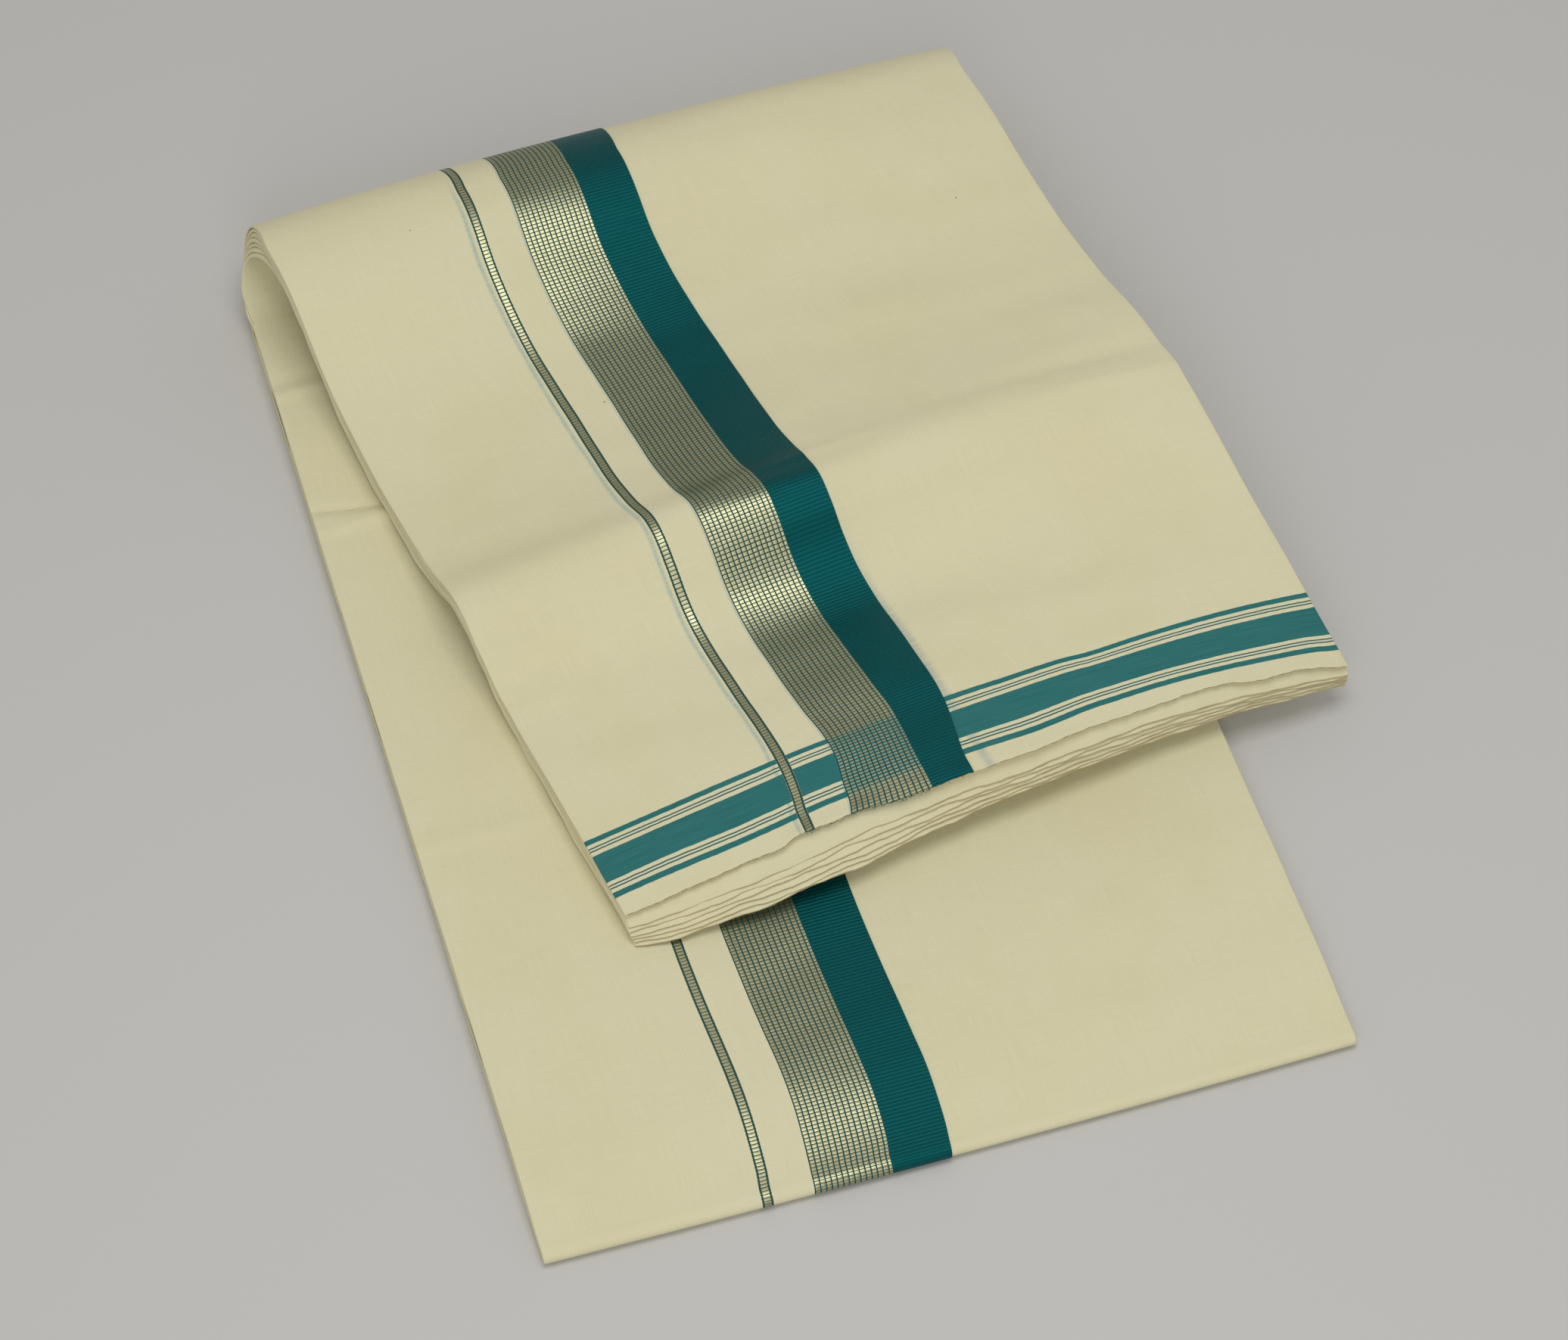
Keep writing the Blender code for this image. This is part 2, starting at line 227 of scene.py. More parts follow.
# How far back of their straight lines the end stripes lie across the packet, in millimetres: at the thin
# stripe by the cut end, at the two edges of the broad one and at the thin one beyond it
STRIPE_DRIFT = table(
    "across thin broad_low broad_high far",
    (0, 0.0, 0.0, 0.0, 0.0),
    (20, -0.1, 0.0, 0.0, 0.0),
    (45, -0.5, -0.4, 0.2, 0.3),
    (60, -0.2, 0.1, 0.4, 0.4),
    (75, 0.6, 0.8, 0.9, 0.7),
    (128, 0.2, 0.4, 0.6, 0.6),
    (145, 0.0, 0.3, 0.4, 0.0),
    (165, 1.6, 1.3, 0.4, -0.3),
    (175, 1.8, 1.4, 0.0, -1.1),
    (195, 2.1, 1.5, 0.2, -0.7),
    (215, 1.6, 1.1, 0.1, -0.5),
    (230, 0.8, 0.4, -0.2, -0.7),
    (245, -0.2, -0.4, -0.7, -1.3),
    (254, -1.4, -1.5, -1.2, -1.8),
)

# How far back of the thin stripe's drift each cut edge lies, and how far it is lifted, in millimetres:
# the border leaf's edge, and that of the field leaf under it, which shows to the right of the selvage
CUT_EDGES = table(
    "across border field border_lift field_lift",
    (0, 0.4, 3.0, 0.0, 0.0),
    (18, 0.1, 3.0, 0.05, 0.0),
    (45, 0.7, 3.0, 0.05, 0.0),
    (58, 0.3, 3.0, 0.3, 0.0),
    (62, 1.4, 3.0, 0.8, 0.0),
    (75, 0.6, 3.0, 1.1, 0.0),
    (83, 1.2, 3.0, 0.7, 0.0),
    (96, -0.2, 2.4, 0.3, 0.0),
    (106, -0.3, 1.4, 0.5, 0.1),
    (122, 0.0, 0.2, 0.9, 0.6),
    (136, 0.0, 0.5, 0.9, 0.9),
    (150, 0.0, 1.2, 0.6, 0.65),
    (165, 0.0, 1.3, 0.3, 0.35),
    (190, 0.0, 1.6, 0.1, 0.1),
    (199, 0.0, 2.4, 0.1, 0.1),
    (212, 0.0, 2.2, 0.1, 0.15),
    (220, 0.0, 0.9, 0.1, 0.1),
    (235, 0.0, 1.9, 0.1, 0.1),
    (246, 0.0, 1.2, 0.05, 0.1),
    (254, 0.0, 1.2, 0.0, 0.0),
)

UPPER_LENGTH = (AXIS_LEFT - END_LEFT[1]) / math.cos(TURN_LEFT)
LOOP_LENGTH = math.pi * LOOP_RADIUS["left"]
UPPER_FOOT = UPPER_LENGTH + LOOP_LENGTH
FRONT_RADIUS = LOWER_STACK / 2
FRONT_TURN = math.pi * FRONT_RADIUS

lower_low, lower_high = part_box("lower_layers")
solid_reach = AXIS_RIGHT * (AXIS_LEFT - SOLID_SEAM) / AXIS_LEFT
PACKET_CORNER = np.array([lower_low[0], lower_high[1] - solid_reach, 0.0])


# Property groups

class ClothSizes(bpy.types.PropertyGroup):
    """Sizes of the cloth and its threads."""

    leaf: FloatProperty(
        name="Leaf Thickness", description="Thickness of one leaf of cloth", default=0.35 * MM,
        min=0.1 * MM, max=0.8 * MM, precision=5, unit="LENGTH")
    weft_pitch: FloatProperty(
        name="Weft Pitch", description="Distance between the ribs and cells of the border",
        default=1.17 * MM, min=0.2 * MM, max=5 * MM, precision=5, unit="LENGTH")
    warp_pitch: FloatProperty(
        name="Zari Line Pitch", description="Distance between the teal lines of the zari band",
        default=1.8 * MM, min=0.2 * MM, max=5 * MM, precision=5, unit="LENGTH")
    grain: FloatProperty(
        name="Thread Pitch", description="Distance between the threads of the plain cotton",
        default=0.42 * MM, min=0.1 * MM, max=2 * MM, precision=5, unit="LENGTH")
    upper_leaves: IntProperty(
        name="Upper Hidden Leaves", description="Folded leaves under the face of the upper stretch",
        default=6, min=2, max=10)
    lower_leaves: IntProperty(
        name="Lower Hidden Leaves", description="Folded leaves under the face of the lower stretch",
        default=3, min=1, max=5)
    fray: FloatProperty(
        name="Fray Length", description="Length of the loose threads at the cut edges", default=0.9 * MM,
        min=0.0, max=5 * MM, precision=5, unit="LENGTH")
    thread: FloatProperty(
        name="Thread Thickness", description="Diameter of a loose thread", default=0.16 * MM,
        min=0.05 * MM, max=1 * MM, precision=5, unit="LENGTH")


class ClothColours(bpy.types.PropertyGroup):
    """Colours of the yarns."""

    cream: FloatVectorProperty(
        name="Cream Cotton", description="Unbleached cotton", default=(0.80, 0.755, 0.503), size=3,
        min=0.0, max=1.0, subtype="COLOR")
    straw: FloatVectorProperty(
        name="Straw Tone", description="The yellower patches of the unbleached cotton",
        default=(0.78, 0.70, 0.42), size=3, min=0.0, max=1.0, subtype="COLOR")
    teal: FloatVectorProperty(
        name="Border Teal", description="Dark teal of the border band and lines",
        default=(0.0025, 0.055, 0.055), size=3, min=0.0, max=1.0, subtype="COLOR")
    stripe: FloatVectorProperty(
        name="Stripe Teal", description="Dusty teal of the stripes at the cut end",
        default=(0.020, 0.168, 0.165), size=3, min=0.0, max=1.0, subtype="COLOR")
    gold: FloatVectorProperty(
        name="Zari Gold", description="Pale gold of the zari thread", default=(0.44, 0.44, 0.25), size=3,
        min=0.0, max=1.0, subtype="COLOR")
    seed: FloatVectorProperty(
        name="Cotton Seed", description="Brown specks of cotton seed", default=(0.16, 0.10, 0.04), size=3,
        min=0.0, max=1.0, subtype="COLOR")


class StageSettings(bpy.types.PropertyGroup):
    """The floor and the light."""

    floor: FloatVectorProperty(
        name="Floor", description="Colour of the plain floor", default=(0.66, 0.65, 0.63), size=3,
        min=0.0, max=1.0, subtype="COLOR")
    overhead: FloatProperty(
        name="Overhead Light", description="Power of the large soft light overhead", default=4.3,
        min=0.0, max=500.0, unit="POWER")
    front: FloatProperty(
        name="Front Light", description="Power of the soft light in front of the cloth", default=4.2,
        min=0.0, max=500.0, unit="POWER")
    room: FloatProperty(
        name="Room Light", description="Strength of the even light from all round", default=0.395,
        min=0.0, max=5.0)


# Form of the packet

def ease(value):
    """Ease from 0 to 1."""
    value = np.clip(value, 0.0, 1.0)
    return value * value * (3 - 2 * value)


def fade_in(place, start, reach):
    """Ease from 0 at the start to 1 a reach beyond it."""
    return ease((place - start) / reach)


def mix(start, end, share):
    return start + (end - start) * share


def bulge(share):
    """0 at both edges of the packet and 1 in the middle."""
    return 4 * share * (1 - share)


def read_rows(rows, key, column, place):
    """A column of a table at each place, in metres, on a smooth curve through its rows."""
    places = np.array([row[key] for row in rows]) * MM
    values = np.array([row[column] for row in rows]) * MM
    slopes = np.zeros_like(values)
    slopes[0] = (values[1] - values[0]) / (places[1] - places[0])
    slopes[1:-1] = (values[2:] - values[:-2]) / (places[2:] - places[:-2])
    place = np.clip(place, places[0], places[-1])
    row = np.clip(np.searchsorted(places, place, side="right") - 1, 0, len(places) - 2)
    span = places[row + 1] - places[row]
    t = (place - places[row]) / span
    return ((2 * t ** 3 - 3 * t ** 2 + 1) * values[row] + (t ** 3 - 2 * t ** 2 + t) * span * slopes[row]
            + (3 * t ** 2 - 2 * t ** 3) * values[row + 1] + (t ** 3 - t ** 2) * span * slopes[row + 1])


def through_three(left, middle, right, share, middle_share):
    """A value across the packet, on the parabola through its left, middle and right."""
    lift = (middle - mix(left, right, middle_share)) / (middle_share * (1 - middle_share))
    return mix(left, right, share) + lift * share * (1 - share)


def upper_plan(back, share):
    """Plan point of the upper stretch, at a place back from its cut end and a share of its width."""
    edges = []
    for corner, axis, turn in ((END_LEFT, AXIS_LEFT, TURN_LEFT), (END_RIGHT, AXIS_RIGHT, TURN_RIGHT)):
        reach = (axis - corner[1]) * back / UPPER_LENGTH
        edges.append((corner[0] - reach * math.tan(turn), corner[1] + reach))
    return mix(edges[0][0], edges[1][0], share), mix(edges[0][1], edges[1][1], share)


def upper_stack(back, across):
    """Thickness of the upper stretch and the loop."""
    loosened = ease((back - UPPER_LENGTH + LOOSENING) / LOOSENING)
    slack = END_SLACK * bulge(across / PACKET_WIDTH) * (1 - ease(back / SLACK_REACH))
    return mix(UPPER_STACK, LOOP_STACK, loosened) + slack


def lower_stack(back, across):
    """Thickness of the lower stretch."""
    return mix(LOWER_STACK, LOOP_STACK, ease((back - AXIS_LEFT + LOOSENING) / LOOSENING)) + 0 * across


def crease_relief(creases, back, across):
    """Height of the small creases above the plain form."""
    height = np.zeros(np.broadcast(back, across).shape)
    share = across / PACKET_WIDTH
    for crease in creases:
        away = back - mix(crease["left"], crease["right"], share) * MM
        width = np.where(away < 0, crease["fore"], crease["aft"]) * MM
        fade = crease["fade"] * MM
        lasting = (ease((across - crease["start"] * MM) / fade + 0.5)
                   * ease((crease["end"] * MM - across) / fade + 0.5))
        height += crease["high"] * MM * np.exp(-(away / width) ** 2) * lasting
    return height


def softness(back, across, seed):
    """A slow, slight unevenness of the face, so that no stretch of it is dead flat."""
    height = 0.0
    draw = np.random.default_rng(seed)
    for length, high in SOFT_WAVES:
        for turn in draw.uniform(-0.5, 0.5, 2):
            phase = draw.uniform(0, 2 * math.pi)
            along = back * math.cos(turn) + across * math.sin(turn)
            height = height + high * MM * np.sin(2 * math.pi * along / (length * MM) + phase)
    return height


def outer_face(back, across, depth):
    """Points under the face of the upper stretch, which runs on round the loop and along the floor."""
    back, across, depth = np.broadcast_arrays(back, across, depth)
    share = across / PACKET_WIDTH
    radius = through_three(LOOP_RADIUS["left"], LOOP_RADIUS["middle"], LOOP_RADIUS["right"], share, 0.5)
    calm = fade_in(UPPER_FOOT - back, *LOOP_FOOT_CALM) * fade_in(back, *CUT_END_CALM)
    depth = depth - calm * (crease_relief(UPPER_CREASES, back, across) + softness(back, across, 11))
    # On the upper stretch
    flat_x, flat_y = upper_plan(back, share)
    height = through_three(
        read_rows(UPPER_FORM, "back", "left", back), read_rows(UPPER_FORM, "back", "selvage", back),
        read_rows(UPPER_FORM, "back", "right", back), share, SELVAGE / PACKET_WIDTH)
    rise = ease((back - UPPER_LENGTH) / LOOSENING + 1) ** CROWN_SHARPNESS
    flat_z = mix(height, 2 * radius, rise) - depth
    # Round the loop
    turn = np.clip((back - UPPER_LENGTH) / LOOP_LENGTH, 0.0, 1.0) * math.pi
    crown_x, crown_y = upper_plan(UPPER_LENGTH, share)
    moved = ease(turn / math.pi)
    bend_x = mix(crown_x, across, moved) - LOOP_LEAN * np.sin(turn) * depth / LOOP_STACK
    bend_y = mix(crown_y, mix(AXIS_LEFT, AXIS_RIGHT, share), moved) + (radius - depth) * np.sin(turn)
    bend_z = radius + (radius - depth) * np.cos(turn)
    # Along the floor
    past = np.maximum(back - UPPER_FOOT, 0.0)
    bend_y = bend_y - mix(AXIS_LEFT, AXIS_RIGHT, share) * past / AXIS_LEFT
    upper = back <= UPPER_LENGTH
    points = np.stack([np.where(upper, flat_x, bend_x), np.where(upper, flat_y, bend_y),
                       np.where(upper, flat_z, bend_z)], -1)
    return points + PACKET_CORNER


def lower_face(back, across, depth):
    """Points under the face of the lower stretch, which runs round the front fold and along the floor."""
    back, across, depth = np.broadcast_arrays(back, across, depth)
    share = across / PACKET_WIDTH
    stack = lower_stack(back, across)
    calm = fade_in(back, *FRONT_CALM) * fade_in(AXIS_LEFT - back, *LOWER_FOOT_CALM)
    relief = crease_relief(LOWER_CREASES, back, across) + LOWER_SOFTNESS * softness(back, across, 12)
    depth = depth - calm * relief * np.clip(1 - depth / stack, 0.0, 1.0)
    past = np.maximum(-back - FRONT_TURN, 0.0)
    pressed = 1 - FRONT_PRESS * (1 - ease(np.maximum(back, past) / PRESS_REACH))
    bow = FRONT_BOW * bulge(share) * (1 - ease(back / BOW_REACH))
    fan = mix(AXIS_LEFT, AXIS_RIGHT, share) / AXIS_LEFT
    turn = np.clip(-back / FRONT_RADIUS, 0.0, math.pi)
    top = back >= 0
    y = np.where(top, fan * back - bow, -(FRONT_RADIUS - depth) * np.sin(turn) - bow + fan * past)
    z = np.where(top, stack - depth, FRONT_RADIUS + (FRONT_RADIUS - depth) * np.cos(turn))
    return np.stack([across, y, z * pressed], -1) + PACKET_CORNER


def from_stop_to_stop(place, stops, values):
    """A value that changes evenly from each stop to the next."""
    value = values[0]
    for k in range(len(stops) - 1):
        part = np.clip((place - stops[k]) / (stops[k + 1] - stops[k]), 0.0, 1.0)
        value = value + part * (values[k + 1] - values[k])
    return value


def border_drift(rows, back, across):
    """How far right the border leaf's weave lies of its straight lines."""
    stops = (0.0, (LINE_START + LINE_END) / 2, ZARI_START, ZARI_END, SELVAGE)
    columns = ("line", "zari", "teal", "selvage")
    values = [0 * back] + [read_rows(rows, "back", column, back) for column in columns]
    return from_stop_to_stop(across, stops, values)


def stripe_drift(back, across):
    """How far back the weave near the cut end lies of its straight lines."""
    stops = (THIN_STRIPE, STRIPE_START, STRIPE_END, FAR_STRIPE, STRAIGHT_WEAVE)
    columns = ("thin", "broad_low", "broad_high", "far")
    values = [read_rows(STRIPE_DRIFT, "across", column, across) for column in columns] + [0 * across]
    return from_stop_to_stop(back, stops, values)


def on_weave(face, drift, back, across, depth):
    """Points on a face at places on its weave, which drifts from its straight lines."""
    laid_back = back + stripe_drift(back, across) if face is outer_face else back
    laid_across = across + border_drift(drift, back, across) if drift else across
    return face(laid_back, laid_across, depth)


def wander(place, seed, waves):
    """A smooth wandering value along an edge: a sum of waves, each with its length and its height."""
    draw = np.random.default_rng(seed)
    value = 0.0
    for length, high in waves:
        value = value + high * np.sin(2 * math.pi * place / length + draw.uniform(0, 2 * math.pi))
    return value


# Meshes

SHARP_ANGLE = math.radians(42)
FLAT_STEP = 2.0 * MM
FOLD_STEPS = 7
# How far back from the cut end a cut edge's own line and its lift reach
EDGE_REACH = 5 * MM
LIFT_REACH = 8 * MM


def add_piece(name, points, faces, places, finish, nodes):
    """A closed mesh with its place on the cloth as a map, riding on the body."""
    mesh = bpy.data.meshes.new(name)
    mesh.from_pydata(points.tolist(), [], faces)
    layer = mesh.uv_layers.new(name=PLACE_MAP)
    corners = np.empty(len(mesh.loops), dtype=np.int32)
    mesh.loops.foreach_get("vertex_index", corners)
    layer.data.foreach_set("uv", places[corners].astype(np.float32).ravel())
    mesh.shade_smooth()
    mesh.set_sharp_from_angle(angle=SHARP_ANGLE)
    mesh.materials.append(finish)
    mesh.validate()
    piece = bpy.data.objects.new(name, mesh)
    bpy.context.scene.collection.objects.link(piece)
    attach(piece, BODY)
    if nodes:
        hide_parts(*nodes)
    return piece


def shell_faces(rows, columns):
    """Faces of a thin closed shell, between an upper grid and the grid under it."""
    faces = []
    under = rows * columns

    def corner(i, j):
        return i * columns + j

    for i in range(rows - 1):
        for j in range(columns - 1):
            a, b, c, d = corner(i, j), corner(i, j + 1), corner(i + 1, j + 1), corner(i + 1, j)
            faces.append((a, b, c, d))
            faces.append((under + d, under + c, under + b, under + a))
    rim = [corner(0, j) for j in range(columns)]
    rim += [corner(i, columns - 1) for i in range(1, rows)]
    rim += [corner(rows - 1, j) for j in range(columns - 2, -1, -1)]
    rim += [corner(i, 0) for i in range(rows - 2, 0, -1)]
    for here, there in zip(rim, rim[1:] + rim[:1]):
        faces.append((there, here, under + here, under + there))
    return faces


def leaf_piece(name, face, backs, columns, finish, nodes, front=None, drift=None):
    """A thin leaf on a face. Its columns are lists of (across, depth) for its top and its underside."""
    top, under = (np.array(side) for side in columns)
    backs = np.asarray(backs)[:, None]
    grids = []
    for side in (top, under):
        across = side[None, :, 0] + 0 * backs
        depth = side[None, :, 1] + 0 * backs
        place = backs + 0 * across
        if front is not None:
            place = place - front(across) * (1 - ease(backs / EDGE_REACH))
            depth = depth - edge_lift(front, across) * (1 - ease(backs / LIFT_REACH))
        grids.append((on_weave(face, drift, place, across, depth), np.stack([across, place], -1)))
    points = np.concatenate([grid[0].reshape(-1, 3) for grid in grids])
    places = np.concatenate([grid[1].reshape(-1, 2) for grid in grids])
    return add_piece(name, points, shell_faces(len(backs), len(top)), places, finish, nodes)


def flat_columns(start, end, depth, thickness):
    """Columns of a flat leaf."""
    count = max(1, round((end - start) / FLAT_STEP))
    acrosses = np.linspace(start, end, count + 1)
    return [(a, depth) for a in acrosses], [(a, depth + thickness) for a in acrosses]


def left_fold(depth, fold, thickness):
    """Columns round a fold at the left edge, from its underside up to its top."""
    radius = fold / 2
    top, under = [], []
    for turn in np.linspace(math.pi, 0, FOLD_STEPS + 1)[:-1]:
        for columns, r in ((top, radius), (under, radius - thickness)):
            columns.append((radius - r * math.sin(turn), depth + radius - r * math.cos(turn)))
    return top, under


def right_fold(depth, fold, thickness):
    """Columns round a fold at the right edge, from its top down to its underside."""
    top, under = left_fold(depth, fold, thickness)
    return ([(PACKET_WIDTH - a, d) for a, d in reversed(top)],
            [(PACKET_WIDTH - a, d) for a, d in reversed(under)])


def join_columns(*parts):
    """Columns of parts side by side."""
    return [c for part in parts for c in part[0]], [c for part in parts for c in part[1]]


def spaced(start, *stretches):
    """Places from the start through the stretches, each given as its end and the step within it."""
    places = [start]
    for end, step in stretches:
        count = max(1, math.ceil((end - start) / step))
        places += list(np.linspace(start, end, count + 1)[1:])
        start = end
    return np.array(places)


# Finishes

# Tones that go with the colours of the yarns
WORN_STRIPE = (0.065, 0.245, 0.24)
HAIRLINE = (0.045, 0.14, 0.11)
PALE_LINE = (0.70, 0.71, 0.54)
# Brown of the painted shade at the front ends of the hidden leaves
EDGE_SHADE_BROWN = (0.40, 0.29, 0.10)
TEAL_SHINE = (0.04, 0.72, 0.80)
BRIGHT_ZARI = (0.51, 0.51, 0.36)
ZARI_GROOVE = (0.05, 0.07, 0.035)
ZARI_WARP = (0.006, 0.075, 0.075)
LOOSE_TEAL = (0.006, 0.10, 0.10)
# Brown of the threads that paint the shadow line under the cut edges
EDGE_SHADOW_BROWN = (0.24, 0.17, 0.07)
BLUE_GHOST = (0.30, 0.47, 0.45)
# Grey beside the selvage: the band below showing through, and painted shade of the selvage's step
GREY_SHOWTHROUGH_AND_SHADE = (0.44, 0.49, 0.44)

# Bands that show faintly through the leaf over them, in millimetres: the middle, how wide, how far the
# middle wanders, how strong, the part of the noise that it wanders by, and the backs where it fades
GHOSTS = {
    "line": {"across": 64.9, "width": 1.3, "drift": 2.2, "strength": 0.75, "lift": 1.0,
             "colour": BLUE_GHOST, "back": (262, 285)},
    "zari": {"across": 81.6, "width": 0.7, "drift": 0.4, "strength": 0.6, "lift": 2.0,
             "colour": BLUE_GHOST},
    # Grey band right of the selvage: partly the band below showing through, partly painted shade of the
    # selvage's step
    "field": {"across": 125.8, "width": 2.8, "drift": 1.6, "strength": 0.8, "lift": 3.0,
              "colour": GREY_SHOWTHROUGH_AND_SHADE, "back": (60, 110)},
}


class Finish:
    """A procedural material that is worked out from places on the cloth, in millimetres."""

    def __init__(self, name, roughness=0.5, sheen=0.0, specular=0.25, tint=(1.0, 1.0, 1.0)):
        self.material = bpy.data.materials.new(name)
        self.material.use_nodes = True
        self.tree = self.material.node_tree
        self.shader = self.tree.nodes["Principled BSDF"]
        self.shader.inputs["Roughness"].default_value = roughness
        self.shader.inputs["Sheen Weight"].default_value = sheen
        self.shader.inputs["Specular IOR Level"].default_value = specular
        self.shader.inputs["Specular Tint"].default_value = (*tint, 1.0)
        place = self.node("ShaderNodeUVMap")
        place.uv_map = PLACE_MAP
        split = self.node("ShaderNodeSeparateXYZ")
        self.feed(split.inputs[0], self.scale(place.outputs["UV"], 1 / MM))
        self.across = split.outputs["X"]
        self.back = split.outputs["Y"]

    def node(self, kind):
        return self.tree.nodes.new(kind)

    def feed(self, socket, value):
        if isinstance(value, bpy.types.NodeSocket):
            self.tree.links.new(value, socket)
        elif isinstance(value, (tuple, list)) and len(value) == 3 and socket.type == "RGBA":
            socket.default_value = (*value, 1.0)
        else:
            socket.default_value = value

    def sum(self, operation, *values, clamp=False):
        node = self.node("ShaderNodeMath")
        node.operation = operation
        node.use_clamp = clamp
        for socket, value in zip(node.inputs, values):
            self.feed(socket, value)
        return node.outputs[0]

    def scale(self, vector, factor):
        node = self.node("ShaderNodeVectorMath")
        node.operation = "SCALE"
        self.feed(node.inputs[0], vector)
        self.feed(node.inputs["Scale"], factor)
        return node.outputs[0]

    def stretch(self, across_scale, back_scale, lift=0.0):
        """The place on the cloth, scaled on its own along the weft and the warp."""
        node = self.node("ShaderNodeCombineXYZ")
        self.feed(node.inputs[0], self.sum("MULTIPLY", self.across, across_scale))
        self.feed(node.inputs[1], self.sum("MULTIPLY", self.back, back_scale))
        node.inputs[2].default_value = lift
        return node.outputs[0]

    def noise(self, vector, detail=2.0):
        node = self.node("ShaderNodeTexNoise")
        self.feed(node.inputs["Vector"], vector)
        node.inputs["Scale"].default_value = 1.0
        node.inputs["Detail"].default_value = detail
        return node.outputs["Fac"]

    def range(self, value, low, high, to_low=0.0, to_high=1.0, smooth=True):
        node = self.node("ShaderNodeMapRange")
        node.interpolation_type = "SMOOTHSTEP" if smooth else "LINEAR"
        self.feed(node.inputs["Value"], value)
        ends = {"From Min": low, "From Max": high, "To Min": to_low, "To Max": to_high}
        for key, number in ends.items():
            node.inputs[key].default_value = number
        return node.outputs["Result"]

    def blend(self, share, under, over):
        node = self.node("ShaderNodeMix")
        node.data_type = "RGBA"
        self.feed(node.inputs[0], share)
        self.feed(node.inputs[6], under)
        self.feed(node.inputs[7], over)
        return node.outputs[2]

    def wave(self, value, pitch, shift=0.0):
        """A cosine with a crest at each pitch, from 0 to 1."""
        turn = self.sum("MULTIPLY", self.sum("SUBTRACT", value, shift), 2 * math.pi / pitch)
        return self.sum("MULTIPLY_ADD", self.sum("COSINE", turn), 0.5, 0.5)

    def bump(self, height, distance):
        node = self.node("ShaderNodeBump")
        node.inputs["Distance"].default_value = distance
        self.feed(node.inputs["Height"], height)
        self.tree.links.new(node.outputs["Normal"], self.shader.inputs["Normal"])

    def colour(self, value):
        self.feed(self.shader.inputs["Base Color"], value)


def plain_weave(finish, pitch):
    """Height of over-and-under threads, and of thicker threads here and there."""
    grain = pitch / MM
    weft = finish.sum("COSINE", finish.sum("MULTIPLY", finish.back, math.pi / grain))
    warp = finish.sum("COSINE", finish.sum("MULTIPLY", finish.across, math.pi / grain))
    over = finish.sum("MULTIPLY_ADD", finish.sum("MULTIPLY", weft, warp), 0.5, 0.5)
    slub = finish.noise(finish.stretch(0.09, 3.2))
    warp_slub = finish.noise(finish.stretch(3.0, 0.07, 4.0))
    slubs = finish.sum("ADD", slub, warp_slub)
    return over, slubs


def cream_colour(finish, colours, slubs):
    """Unbleached cotton: slow yellower patches, faint streaks along the threads and seed specks."""
    patches = finish.range(finish.noise(finish.stretch(0.022, 0.019, 9.0), 3.0), 0.42, 0.68)
    base = finish.blend(finish.sum("MULTIPLY", patches, 0.3), tuple(colours.cream), tuple(colours.straw))
    streaks = finish.range(slubs, 0.75, 1.25, 0.968, 1.025, smooth=False)
    shaded = finish.scale(base, streaks)
    cells = finish.node("ShaderNodeTexVoronoi")
    cells.inputs["Scale"].default_value = 1.0
    finish.feed(cells.inputs["Vector"], finish.stretch(0.062, 0.062, 2.0))
    chosen = finish.node("ShaderNodeSeparateColor")
    finish.feed(chosen.inputs[0], cells.outputs["Color"])
    size = finish.range(chosen.outputs[0], 0.45, 1.0, -0.006, 0.032, smooth=False)
    speck = finish.sum("SUBTRACT", size, cells.outputs["Distance"])
    speck = finish.range(speck, 0.0, 0.009, 0.0, 0.75)
    return finish.blend(speck, shaded, tuple(colours.seed))


# What is woven in near the cut end: how far back each stretch begins, in millimetres, and its kind
END_PATTERN = (
    (0.0, "cream"), (7.3, "stripe"), (9.35, "cream"), (10.55, "hair"), (11.0, "pale"), (11.7, "hair"),
    (12.15, "cream"), (13.4, "stripe"), (23.6, "cream"), (25.05, "hair"), (25.5, "pale"), (26.15, "hair"),
    (26.6, "cream"), (27.85, "stripe"), (29.8, "cream"),
)
END_PATTERN_LENGTH = 40.0
KIND_CHANNELS = {"cream": (0, 0, 0), "stripe": (1, 0, 0), "hair": (0, 1, 0), "pale": (0, 0, 1)}


def end_stripes(finish, colours, base):
    """The teal stripes and hairlines woven in near the cut end."""
    uneven = finish.noise(finish.stretch(0.35, 0.2, 5.0))
    back = finish.sum("ADD", finish.back, finish.sum("MULTIPLY_ADD", uneven, 0.34, -0.17))
    where = finish.sum("DIVIDE", back, END_PATTERN_LENGTH)
    ramp = finish.node("ShaderNodeValToRGB")
    ramp.color_ramp.interpolation = "CONSTANT"
    stops = ramp.color_ramp.elements
    while len(stops) > 1:
        stops.remove(stops[-1])
    for number, (place, kind) in enumerate(END_PATTERN):
        stop = stops[0] if number == 0 else stops.new(place / END_PATTERN_LENGTH)
        stop.position = place / END_PATTERN_LENGTH
        stop.color = (*KIND_CHANNELS[kind], 1.0)
    finish.feed(ramp.inputs[0], where)
    kinds = finish.node("ShaderNodeSeparateColor")
    finish.feed(kinds.inputs[0], ramp.outputs["Color"])
    threads = finish.noise(finish.stretch(0.05, 4.5, 7.0), 3.0)
    worn = finish.range(threads, 0.35, 0.7, 0.0, 0.5)
    teal = finish.blend(worn, tuple(colours.stripe), WORN_STRIPE)
    mixed = finish.blend(kinds.outputs[0], base, teal)
    mixed = finish.blend(kinds.outputs[1], mixed, HAIRLINE)
    return finish.blend(kinds.outputs[2], mixed, PALE_LINE)


